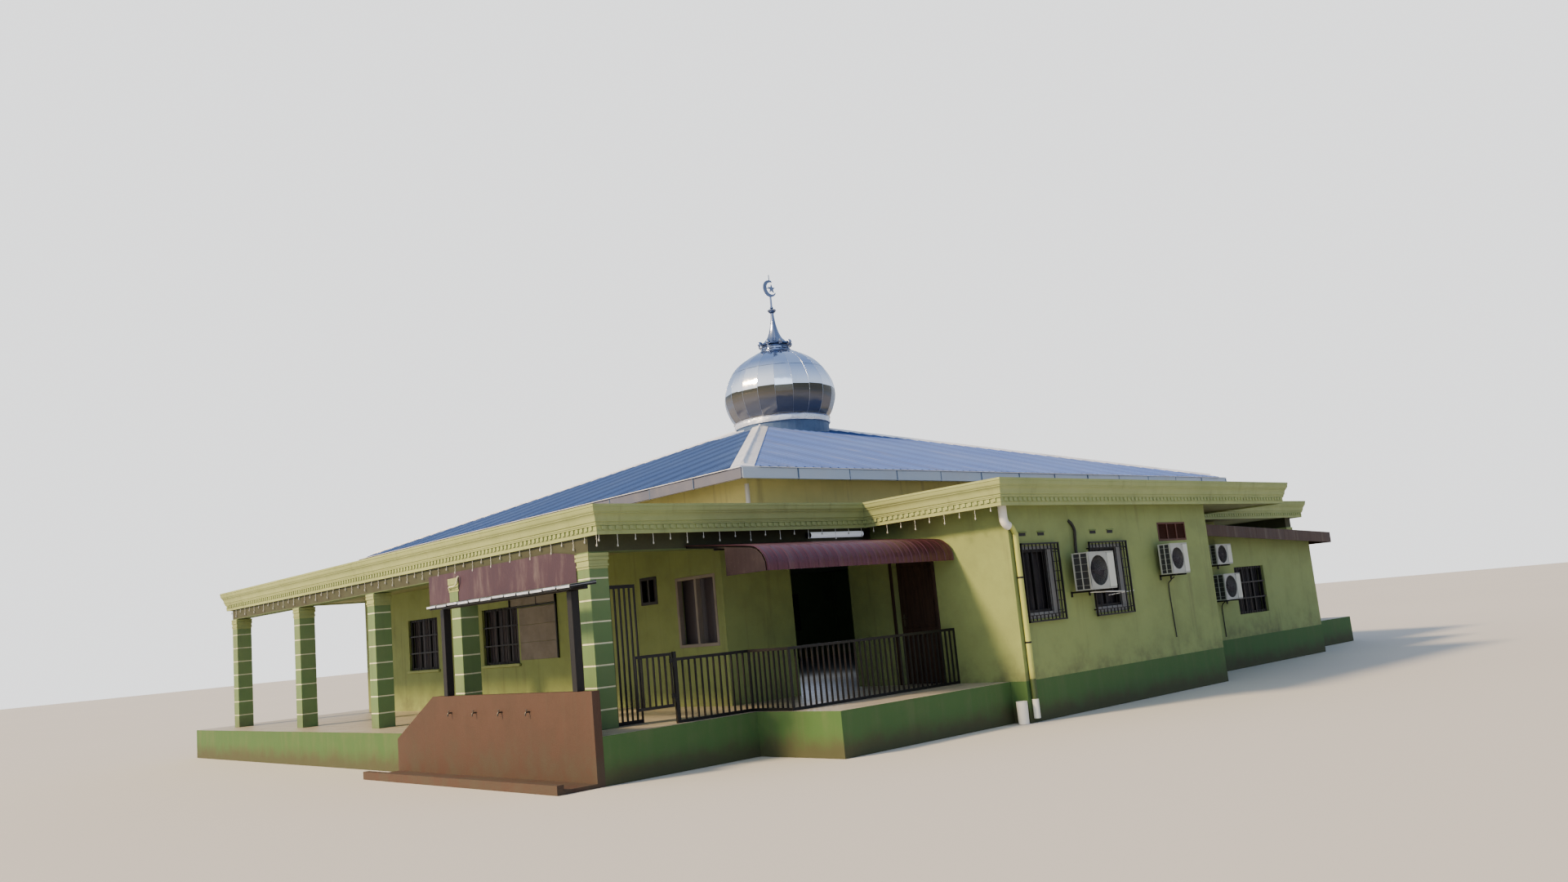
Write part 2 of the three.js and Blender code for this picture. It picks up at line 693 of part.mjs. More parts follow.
function cooler(name, [x0, x1], [z0, z1], gap, depth) {
  const face = BLOCK.front - SEAT;
  const body = box(x0, x1, face - gap - depth, face - gap, z0, z1);
  const arms = [x0 + 60, x1 - 100].map((x) => box(x, x + 40, face - gap - depth, face, z0 - 40, z0 + 10));
  const plate = box(x0 + 60, x1 - 60, face - 12, face, z0 - 40, z0 + 60);
  add(name, joined(body, plate, ...arms), finish(COLOURS.white));
}

// Rainwater pipes

function pipe(points, radius) {
  const path = new THREE.CatmullRomCurve3(points.map((p) => new THREE.Vector3(...p)), false, 'catmullrom', 0.1);
  const ring = new THREE.Shape();
  ring.absarc(0, 0, radius, 0, 2 * Math.PI, false);
  return new THREE.ExtrudeGeometry(ring, { steps: 24, extrudePath: path, curveSegments: 10, bevelEnabled: false });
}

function buildPipes() {
  const radius = 45;
  const corner = BLOCK.left + 110;
  const line = BLOCK.front - radius - 4;
  const front = pipe(
    [
      [BLOCK.left - 110, BLOCK.front - 20, SLAB_BOTTOM - 0.6],
      [BLOCK.left - 110, BLOCK.front - 20, 3260],
      [BLOCK.left - 110, BLOCK.front - 20, 3170],
      [BLOCK.left - 60, line - 5, 3060],
      [corner, line, 2950],
      [corner, line, 2700],
      [corner, line, 1500],
      [corner, line, 60],
    ],
    radius,
  );
  add('front_downpipe', front, finish(COLOURS.plinth));
  const upper = new THREE.CylinderGeometry(40, 40, 660, 12).rotateX(Math.PI / 2);
  add('upper_downpipe', upper.translate(-UPPER.x - 42, -UPPER.y - 42, SLAB_TOP + SEAT + 330), finish(COLOURS.white));
}

buildFloor();
buildHallWalls();
buildUpperWalls();
buildFlatRoofs();
buildCornice();
buildVeranda();
buildRoof();
buildDrum();
buildDome();
buildFrontRoom();
buildDoor();
buildWing();
buildPorch();
buildAwning();
buildBlind();
buildWashPlace();
cooler('cooler_left', [-3860, -3110], [1920, 2530], 160, 320);
cooler('cooler_right', [-1060, -460], [2070, 2610], 90, 250);
buildPipes();

export default mosque;
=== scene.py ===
"""Looks of a small single-storey mosque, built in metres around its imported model.

The shapes of the model stay where they are. Sheet ribs, mouldings, dome panels, windows,
grilles, cooling units and pipes are added to them, and every surface gets its finish.
"""

from __future__ import annotations

import logging
import math
from dataclasses import dataclass
from enum import Enum
from functools import cache
from typing import Callable, Iterable, Protocol, Sequence

import bmesh
import bpy
from mathutils import Matrix, Vector


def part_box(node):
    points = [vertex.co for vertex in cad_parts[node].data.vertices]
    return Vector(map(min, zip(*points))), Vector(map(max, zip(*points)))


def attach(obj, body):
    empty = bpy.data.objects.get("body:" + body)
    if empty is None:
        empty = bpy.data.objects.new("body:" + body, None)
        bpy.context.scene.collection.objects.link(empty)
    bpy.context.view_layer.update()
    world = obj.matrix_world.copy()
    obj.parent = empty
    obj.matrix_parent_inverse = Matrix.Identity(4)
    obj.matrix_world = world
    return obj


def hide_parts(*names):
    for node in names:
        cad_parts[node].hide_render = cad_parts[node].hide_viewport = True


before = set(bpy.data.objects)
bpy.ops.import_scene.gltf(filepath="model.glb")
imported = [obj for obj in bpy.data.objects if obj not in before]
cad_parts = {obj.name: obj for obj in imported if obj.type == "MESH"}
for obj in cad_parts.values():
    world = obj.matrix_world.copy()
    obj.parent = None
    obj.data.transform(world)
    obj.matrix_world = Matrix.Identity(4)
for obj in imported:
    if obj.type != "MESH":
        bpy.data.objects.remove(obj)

Point = tuple[float, float, float]
Pair = tuple[float, float]
Outline = tuple[Pair, ...]
Path = tuple[Point, ...]
Colour = tuple[float, float, float]

LOG = logging.getLogger("mosque")

# Places that several parts share, in metres: the raised floor, the hall's outer faces, the
# line of the veranda's columns, the faces of the front room and the wing, and the columns.
FLOOR = 0.63
HALL_X, HALL_Y = 8.13, 6.98
RING_X, RING_Y = 11.04, 7.88
BLOCK_LEFT, BLOCK_FRONT = -5.23, -10.56
WING_FRONT = -9.38
COLUMN_FACES = (-7.61, -3.71, -0.33, 3.41, 7.31)

# How fittings are set: their gap to the wall behind them, a frame's slack in its opening, and
# the span of window sashes out from the wall's face.
GAP, SLACK = 0.001, 0.002
SASH = (-0.10, -0.05)

# The dome's panels: how many go round, the direction of the first seam in degrees, and the
# heights at which one tier of them ends and the next begins.
GORES, GORE_TURN = 20, 7.2
TIERS = (7.5, 8.16)


def scatter(*keys: float) -> float:
    """Gives a settled number from 0 to 1 for the keys."""
    return math.sin(sum(k * w for k, w in zip(keys, (12.9898, 78.233, 37.719, 9.151))) + 1.7) * 43758.5453 % 1.0


def smooth_run(points: Sequence[Pair], steps: int) -> list[Pair]:
    """Draws a smooth curve through points.

    Args:
        points: The points that the curve passes through.
        steps: How many points lie in each stretch.

    Returns:
        The points of the curve, the last one included.
    """
    run: list[Pair] = []
    for i in range(len(points) - 1):
        a, b, c, d = (points[max(0, min(len(points) - 1, i + k))] for k in (-1, 0, 1, 2))
        for j in range(steps):
            t = j / steps
            run.append(tuple(
                0.5 * (2 * q + (r - p) * t + (2 * p - 5 * q + 4 * r - s) * t * t + (3 * q - p - 3 * r + s) * t ** 3)
                for p, q, r, s in zip(a, b, c, d)
            ))
    return [*run, points[-1]]


def about(middle: float, half: float) -> Pair:
    """Gives the span that reaches equally far to both sides of a middle."""
    return middle - half, middle + half


def between(low: float, high: float, parts: int) -> list[float]:
    """Lists the places that divide a stretch into equal parts, its ends left out."""
    return [low + (high - low) * k / parts for k in range(1, parts)]


def oblong(a: Pair, b: Pair) -> list[Pair]:
    """Lists the corners of a rectangle by its two spans."""
    return [(a[0], b[0]), (a[1], b[0]), (a[1], b[1]), (a[0], b[1])]


def turns(count: int, first: float = 0.0) -> list[float]:
    """Lists evenly spaced directions round a circle, in radians."""
    return [first + 2 * math.pi * k / count for k in range(count)]


def spoke(reach: float, turn: float, z: float) -> Point:
    """Gives the point at a distance from the upright axis, in one direction and z up."""
    return reach * math.cos(turn), reach * math.sin(turn), z


class Slot(Enum):
    """The record's material slots, named for each piece."""

    WALL = "wall"
    CORNICE = "cornice"
    COLUMN = "column"
    ROOF = "roof"
    TRIM = "trim"
    DOME = "dome_steel"
    BROWN = "brown_sheet"
    TIMBER = "timber"
    WHITE = "white_plastic"
    RED = "red_sheet"
    BLIND = "blind"
    DARK = "dark_steel"


class Body(Enum):
    """The bodies that pieces ride on."""

    BUILDING = "building"
    DOOR = "door_leaf"


# Shader expressions


class Signal:
    """A node's output that can be used in Python expressions."""

    def __init__(self, graph: Graph, socket: bpy.types.NodeSocket) -> None:
        """Keeps the output and the graph that it belongs to."""
        self.graph = graph
        self.socket = socket

    def _math(self, operation: str, a: Value, b: Value = 0.0) -> Signal:
        """Adds one Math node and gives its result."""
        return self.graph.node("ShaderNodeMath", {"operation": operation}, {0: a, 1: b})

    def __add__(self, other: Value) -> Signal:
        """Adds."""
        return self._math("ADD", self, other)

    __radd__ = __add__

    def __sub__(self, other: Value) -> Signal:
        """Subtracts."""
        return self._math("SUBTRACT", self, other)

    def __rsub__(self, other: Value) -> Signal:
        """Subtracts from a number."""
        return self._math("SUBTRACT", other, self)

    def __mul__(self, other: Value) -> Signal:
        """Multiplies."""
        return self._math("MULTIPLY", self, other)

    __rmul__ = __mul__

    def __truediv__(self, other: Value) -> Signal:
        """Divides."""
        return self._math("DIVIDE", self, other)

    def __gt__(self, other: Value) -> Signal:
        """Is 1 where this is larger."""
        return self._math("GREATER_THAN", self, other)

    def __lt__(self, other: Value) -> Signal:
        """Is 1 where this is smaller."""
        return self._math("LESS_THAN", self, other)

    def fract(self) -> Signal:
        """Gives the part after the point."""
        return self._math("FRACT", self)

    def floor(self) -> Signal:
        """Gives the whole number below."""
        return self._math("FLOOR", self)

    def size(self) -> Signal:
        """Gives the value without its sign."""
        return self._math("ABSOLUTE", self)

    def most(self, other: Value) -> Signal:
        """Gives the larger of two."""
        return self._math("MAXIMUM", self, other)

    def rise(self, low: float, high: float) -> Signal:
        """Climbs softly from 0 at low to 1 at high."""
        settings = {"interpolation_type": "SMOOTHSTEP"}
        return self.graph.node("ShaderNodeMapRange", settings, {"Value": self, "From Min": low, "From Max": high})


Value = float | Signal
Paintable = Colour | Signal


class Graph:
    """The node tree of one material or of the sky."""

    def __init__(self, name: str, owner: bpy.types.World | None = None) -> None:
        """Starts an empty tree.

        Args:
            name: The material's name.
            owner: A sky whose tree is taken instead of a new material's.
        """
        self.material = owner or bpy.data.materials.new(name)
        self.material.use_nodes = True
        self.tree = self.material.node_tree
        self.tree.nodes.clear()

    def node(
        self,
        kind: str,
        settings: dict[str, object] | None = None,
        sockets: dict[int | str, object] | None = None,
        out: int | str = 0,
    ) -> Signal:
        """Adds a node.

        Args:
            kind: The node's type.
            settings: Its properties.
            sockets: Values or signals for its inputs, by number, name or identifier.
            out: The output to give back.

        Returns:
            That output.
        """
        made = self.tree.nodes.new(kind)
        for key, value in (settings or {}).items():
            setattr(made, key, value)
        for key, value in (sockets or {}).items():
            target = self._find(made.inputs, key)
            if isinstance(value, Signal):
                self.tree.links.new(value.socket, target)
            else:
                target.default_value = (*value, 1.0) if target.type == "RGBA" else value
        return Signal(self, self._find(made.outputs, out))

    @staticmethod
    def _find(sockets: bpy.types.bpy_prop_collection, key: int | str) -> bpy.types.NodeSocket:
        """Finds a socket by number, identifier or name."""
        return sockets[key] if isinstance(key, int) else next(s for s in sockets if key in (s.identifier, s.name))

    def place(self) -> Signal:
        """Gives the point in the building's own metres."""
        return self.node("ShaderNodeTexCoord", out="Object")

    def axis(self, source: Signal, name: str) -> Signal:
        """Gives one part, X, Y or Z, of a vector."""
        return self.node("ShaderNodeSeparateXYZ", None, {0: source}, name)

    def facing(self, name: str) -> Signal:
        """Gives one part of the surface's direction."""
        return self.axis(self.node("ShaderNodeNewGeometry", out="Normal"), name)

    def noise(self, scale: float, stretch: Point = (1, 1, 1), detail: float = 4, rough: float = 0.55) -> Signal:
        """Gives a soft pattern.

        Args:
            scale: How many features lie in a metre.
            stretch: How much closer they lie along each axis.
            detail: How many finer layers are added.
            rough: How strong the finer layers are.

        Returns:
            A value around a half.
        """
        spread = self.node("ShaderNodeVectorMath", {"operation": "MULTIPLY"}, {0: self.place(), 1: stretch})
        return self.node(
            "ShaderNodeTexNoise", None, {"Vector": spread, "Scale": scale, "Detail": detail, "Roughness": rough}
        )

    def mix(self, a: Paintable, b: Paintable, share: Value) -> Signal:
        """Blends two colours, b taking that share."""
        sockets = {"Factor_Float": share, "A_Color": a, "B_Color": b}
        return self.node("ShaderNodeMix", {"data_type": "RGBA"}, sockets, "Result_Color")

    def bump(self, height: Signal, distance: float) -> Signal:
        """Turns a height into a direction of the surface."""
        return self.node("ShaderNodeBump", None, {"Height": height, "Distance": distance})

    def finish(
        self, colour: Paintable, rough: Value, normal: Signal | None = None, metal: Value = 0.0, **fixed: Value | Colour
    ) -> bpy.types.Material:
        """Closes the material with its shader.

        Args:
            colour: The base colour.
            rough: The roughness.
            normal: The direction from a bump.
            metal: How metallic it is.
            **fixed: Steady values, such as Coat_Weight.

        Returns:
            The finished material.
        """
        sockets: dict[int | str, object] = {"Base Color": colour, "Roughness": rough, "Metallic": metal}
        if normal is not None:
            sockets["Normal"] = normal
        sockets.update({key.replace("_", " "): value for key, value in fixed.items()})
        self.close(self.node("ShaderNodeBsdfPrincipled", None, sockets))
        return self.material

    def close(self, shader: Signal, kind: str = "ShaderNodeOutputMaterial") -> None:
        """Joins a shader to the tree's output."""
        self.tree.links.new(shader.socket, self.tree.nodes.new(kind).inputs["Surface"])


class Finish(Protocol):
    """Anything that can make a material."""

    def make(self) -> bpy.types.Material:
        """Makes the material."""


@cache
def material(finish: Finish) -> bpy.types.Material:
    """Makes a finish's material once."""
    return finish.make()


def dim(colour: Colour, share: float) -> Colour:
    """Gives that share of a colour."""
    return tuple(share * c for c in colour)


@dataclass(frozen=True)
class Paint:
    """Paint on plaster or concrete, with rain streaks, splashed dirt, a trowelled grain and, above a beam height where
    one is given, painted shade.

    The lower part takes a second colour where one is named.
    """

    name: str
    colour: Colour
    worn: Colour
    dirt: Colour = (0.10, 0.095, 0.07)
    # The next colour is painted shade, laid above the beam height to stand in for the shade under the cornice.
    painted_shade: Colour = (0.060, 0.058, 0.040)
    streaks: float = 0.35
    splash: float = 0.95
    # The height above which that painted shade is laid; there is none where it is 0.
    beam: float = 0.0
    rough: float = 0.72
    grain: float = 0.004
    lower: Colour | None = None
    lower_top: float = 0.66

    def make(self) -> bpy.types.Material:
        """Makes the material.

        Returns:
            The finished material.
        """
        g = Graph(self.name)
        z = g.axis(g.place(), "Z")
        broad = g.noise(0.45, detail=5)
        patches = g.noise(2.3, detail=8, rough=0.62)
        rain = g.noise(1.6, (3.2, 3.2, 0.22), detail=7, rough=0.6)
        grit = g.noise(38, detail=5, rough=0.7)
        skin = g.mix(self.colour, self.worn, (broad * 0.55 + patches * 0.45).rise(0.40, 0.64))
        if self.lower is not None:
            skin = g.mix(skin, self.lower, (z + patches * 0.01 < self.lower_top + 0.005))
        skin = g.mix(skin, self.dirt, rain.rise(0.53, 0.78) * self.streaks)
        # Painted shade: darker above the beam height, where the cornice's shade falls.
        if self.beam:
            skin = g.mix(skin, self.painted_shade, z.rise(self.beam, self.beam + 0.03) * (patches * 0.3 + 0.75))
        foot = (1 - (z - patches * 0.5).rise(self.splash - 0.75, self.splash - 0.1)) * patches.rise(0.3, 0.7) * 0.55
        skin = g.mix(skin, self.dirt, foot)
        skin = g.mix(skin, dim(self.colour, 0.75), grit.rise(0.56, 0.8) * 0.25)
        rough = patches * 0.2 + (self.rough - 0.1)
        return g.finish(skin, rough, g.bump(grit * 0.5 + patches * 0.9, self.grain))


@dataclass(frozen=True)
class Coated:
    """Factory-coated sheet: faded paint, dust that runs down the slope, a faint wave and, where it has ribs, painted
    shade along the ribs and towards each sheet's edges.
    """

    name: str
    colour: Colour
    faded: Colour
    run: Point = (1, 1, 1)
    rough: float = 0.36
    dust: Colour = (0.30, 0.29, 0.27)
    dusty: float = 0.35
    metal: float = 0.25
    wave: float = 0.012
    ribs: str = ""
    pitch: float = 0.2
    # How strongly painted shade darkens both sides of each rib.
    lines: float = 0.3
    # How strongly painted shade darkens towards the edges of each sheet, five ribs wide.
    lap_shade: float = 0.0

    def make(self) -> bpy.types.Material:
        """Makes the material, with painted shade along both sides of each rib where it has ribs.

        Returns:
            The finished material.
        """
        g = Graph(self.name)
        broad = g.noise(0.35, detail=5)
        runs = g.noise(2.2, self.run, detail=6, rough=0.6)
        fine = g.noise(30, detail=3)
        skin = g.mix(self.colour, self.faded, (broad * 0.6 + runs * 0.4).rise(0.38, 0.66))
        skin = g.mix(skin, self.dust, runs.rise(0.5, 0.85) * self.dusty)
        skin = g.mix(skin, self.dust, fine.rise(0.6, 0.8) * 0.12)
        if self.ribs:
            across = ((g.axis(g.place(), self.ribs) / self.pitch + 0.5).fract() - 0.5).size()
            # Painted shade along both sides of each rib.
            edge = across.rise(0.05, 0.1) * (1 - across.rise(0.14, 0.24))
            skin = g.mix(skin, dim(self.colour, 0.4), edge * self.lines)
            # Painted shade that darkens towards the edges of each sheet.
            lap = ((g.axis(g.place(), self.ribs) / (5 * self.pitch)).fract() - 0.5).size()
            skin = g.mix(skin, dim(self.colour, 0.3), lap.rise(0.1, 0.5) * self.lap_shade)
        rough = runs * 0.28 + (self.rough - 0.12)
        wave = g.bump(g.noise(1.1, self.run, detail=2) + fine * 0.02, self.wave)
        return g.finish(skin, rough, wave, self.metal)


@dataclass(frozen=True)
class Zinc:
    """Bare or dulled sheet metal with spangle, and creases where it was pressed by hand."""

    name: str
    colour: Colour
    stained: Colour
    rough: float = 0.34
    metal: float = 0.85
    crease: float = 0.0
    crease_scale: float = 7.0
    spangled: float = 1.0

    def make(self) -> bpy.types.Material:
        """Makes the material.

        Returns:
            The finished material.
        """
        g = Graph(self.name)
        broad = g.noise(1.4, detail=6, rough=0.6)
        creases = g.noise(self.crease_scale, detail=3, rough=0.45)
        spangle = g.node("ShaderNodeTexVoronoi", None, {"Vector": g.place(), "Scale": 70.0}, "Color")
        shade = g.axis(spangle, "X") * self.spangled
        skin = g.mix(self.colour, self.stained, broad.rise(0.42, 0.72))
        skin = g.mix(skin, dim(self.colour, 0.82), shade * 0.35)
        rough = shade * 0.1 + broad * 0.22 + (self.rough - 0.15)
        height = creases * self.crease + shade * 0.0006 + broad * 0.006
        return g.finish(skin, rough, g.bump(height, 1.0), self.metal)


@dataclass(frozen=True)
class Mirror:
    """Bright sheet in panels: each panel a little different, with soft dents and rain marks, and a painted reflection:
    bluer above a band, darker and less metallic below it.
    """

    name: str
    colour: Colour
    dull: Colour
    # Painted reflection: the next colour tints the panels bluer above the band, standing in for the sky; the two after
    # it paint them darker below the band, standing in for the dark surroundings they mirror.
    sky_reflection: Colour = (0.31, 0.39, 0.56)
    shade: Colour = (0.15, 0.165, 0.205)
    belly: Colour = (0.115, 0.108, 0.085)
    seam: Colour = (0.09, 0.10, 0.13)
    band: float = 7.58
    rough: float = 0.1

    def make(self) -> bpy.types.Material:
        """Makes the material.

        Returns:
            The finished material.
        """
        g = Graph(self.name)
        point = g.place()
        x, y, z = (g.axis(point, a) for a in "XYZ")
        angle = g.node("ShaderNodeMath", {"operation": "ARCTAN2"}, {0: y, 1: x})
        gore = ((angle * (180 / math.pi) + (360 - GORE_TURN)) * (GORES / 360)).floor()
        tier = (z > TIERS[0]) + (z > TIERS[1])
        cell = g.node("ShaderNodeTexWhiteNoise", {"noise_dimensions": "1D"}, {"W": gore * 3.7 + tier * 1.3}, "Value")
        marks = g.noise(3.0, (1, 1, 0.3), detail=6, rough=0.6)
        dents = g.noise(1.7, detail=2)
        line = cell * 0.05 + self.band
        skin = g.mix(self.colour, self.dull, cell * 0.35 + marks.rise(0.5, 0.8) * 0.25)
        # Painted reflection of the sky: bluer towards the top.
        skin = g.mix(skin, self.sky_reflection, z.rise(self.band + 0.05, self.band + 0.7) * (cell * 0.3 + 0.65))
        skin = g.mix(skin, self.seam, ((z - TIERS[1]).size() < 0.006))
        # Painted reflection of the dark surroundings: below the band the panels are painted darker and made less
        # metallic.
        under = g.mix(self.belly, self.shade, (line - z).rise(0.1, 0.34))
        skin = g.mix(skin, under, (z < line))
        rough = cell * 0.06 + marks.rise(0.45, 0.8) * 0.16 + self.rough
        metal = 1 - (line - z).rise(0.0, 0.15) * 0.6
        return g.finish(skin, rough, g.bump(dents + cell * 0.05 + marks * 0.02, 0.012), metal)


@dataclass(frozen=True)
class Pane:
    """Window glass over a dark room, with patches and specks of dust."""

    name: str
    colour: Colour = (0.030, 0.028, 0.034)
    dust: Colour = (0.15, 0.14, 0.14)
    rough: float = 0.42

    def make(self) -> bpy.types.Material:
        """Makes the material.

        Returns:
            The finished material.
        """
        g = Graph(self.name)
        film = g.noise(2.0, (1, 1, 0.4), detail=6)
        spots = g.noise(60, detail=2)
        skin = g.mix(self.colour, self.dust, film.rise(0.5, 0.85) * 0.28 + spots.rise(0.62, 0.75) * 0.06)
        return g.finish(skin, film * 0.18 + self.rough, g.bump(g.noise(0.9, detail=1), 0.004), Coat_Weight=0.15)


@dataclass(frozen=True)
class Enamel:
    """Gloss or satin paint on steel or plastic, with grime and small chips, and a faint painted glow where one is
    given.
    """

    name: str
    colour: Colour
    grime: Colour = (0.09, 0.07, 0.05)
    chip: Colour = (0.16, 0.08, 0.04)
    rough: float = 0.42
    metal: float = 0.0
    grimy: float = 0.35
    chipped: float = 0.3
    # Strength of a faint emission in the paint's own colour: painted light, making a part glow though it is no lit
    # lamp.
    glow: float = 0.0

    def make(self) -> bpy.types.Material:
        """Makes the material.

        Returns:
            The finished material.
        """
        g = Graph(self.name)
        broad = g.noise(2.2, (1, 1, 0.5), detail=6, rough=0.62)
        fine = g.noise(26, detail=5, rough=0.65)
        skin = g.mix(self.colour, self.grime, broad.rise(0.48, 0.8) * self.grimy)
        skin = g.mix(skin, self.chip, fine.rise(0.62, 0.72) * self.chipped)
        rough = broad * 0.25 + fine * 0.1 + (self.rough - 0.15)
        normal = g.bump(fine * 0.6 + broad * 0.4, 0.0015)
        # The emission is painted light that makes the part glow in its own colour.
        return g.finish(skin, rough, normal, self.metal, Emission_Strength=self.glow, Emission_Color=self.colour)


@dataclass(frozen=True)
class Timber:
    """Stained timber with upright grain."""

    name: str
    colour: Colour
    dark: Colour
    rough: float = 0.45

    def make(self) -> bpy.types.Material:
        """Makes the material.

        Returns:
            The finished material.
        """
        g = Graph(self.name)
        grain = g.noise(24, (1, 1, 0.06), detail=8, rough=0.65)
        board = g.noise(2.5, (1, 1, 0.2), detail=4)
        skin = g.mix(self.colour, self.dark, grain.rise(0.4, 0.66) * 0.8 + board.rise(0.4, 0.7) * 0.2)
        return g.finish(skin, grain * 0.2 + (self.rough - 0.1), g.bump(grain, 0.0015))


@dataclass(frozen=True)
class Slab:
    """Weathered concrete on top and a painted soffit below."""

    name: str
    top: Colour = (0.38, 0.36, 0.32)
    stain: Colour = (0.07, 0.07, 0.06)
    soffit: Colour = (0.30, 0.33, 0.19)

    def make(self) -> bpy.types.Material:
        """Makes the material.

        Returns:
            The finished material.
        """
        g = Graph(self.name)
        blotch = g.noise(0.8, detail=9, rough=0.66)
        grit = g.noise(55, detail=4, rough=0.7)
        up = g.facing("Z") > 0.5
        deck = g.mix(self.top, self.stain, blotch.rise(0.44, 0.68) * 0.8)
        below = g.mix(self.soffit, self.stain, blotch.rise(0.5, 0.8) * 0.3)
        skin = g.mix(below, deck, up)
        return g.finish(skin, grit * 0.2 + 0.72, g.bump(grit * 0.4 + blotch, 0.004))


@dataclass(frozen=True)
class Platform:
    """Tiled floor with painted, rain-splashed sides."""

    name: str
    side: Colour
    worn: Colour
    tile: Colour = (0.46, 0.43, 0.36)
    joint: Colour = (0.16, 0.15, 0.13)
    soil: Colour = (0.09, 0.075, 0.05)
    pitch: float = 0.4

    def make(self) -> bpy.types.Material:
        """Makes the material.

        Returns:
            The finished material.
        """
        g = Graph(self.name)
        point = g.place()
        x, y, z = (g.axis(point, a) for a in "XYZ")
        patches = g.noise(2.6, detail=8, rough=0.64)
        rain = g.noise(1.8, (3, 3, 0.3), detail=6)
        grit = g.noise(40, detail=5, rough=0.7)
        lines = [((a / self.pitch).fract() - 0.5).size() > 0.488 for a in (x, y)]
        joint = lines[0].most(lines[1])
        top = g.mix(self.tile, self.joint, joint)
        top = g.mix(top, self.joint, patches.rise(0.5, 0.8) * 0.35)
        side = g.mix(self.side, self.worn, (rain * 0.5 + patches * 0.5).rise(0.42, 0.68))
        splash = (1 - (z - patches * 0.35).rise(-0.12, 0.22)) * 0.75
        side = g.mix(side, self.soil, splash)
        up = g.facing("Z") > 0.5
        skin = g.mix(side, top, up)
        rough = (1 - up) * 0.3 + patches * 0.18 + 0.36
        return g.finish(skin, rough, g.bump(grit * 0.4 + patches * 0.8 - joint * up * 0.6, 0.003))


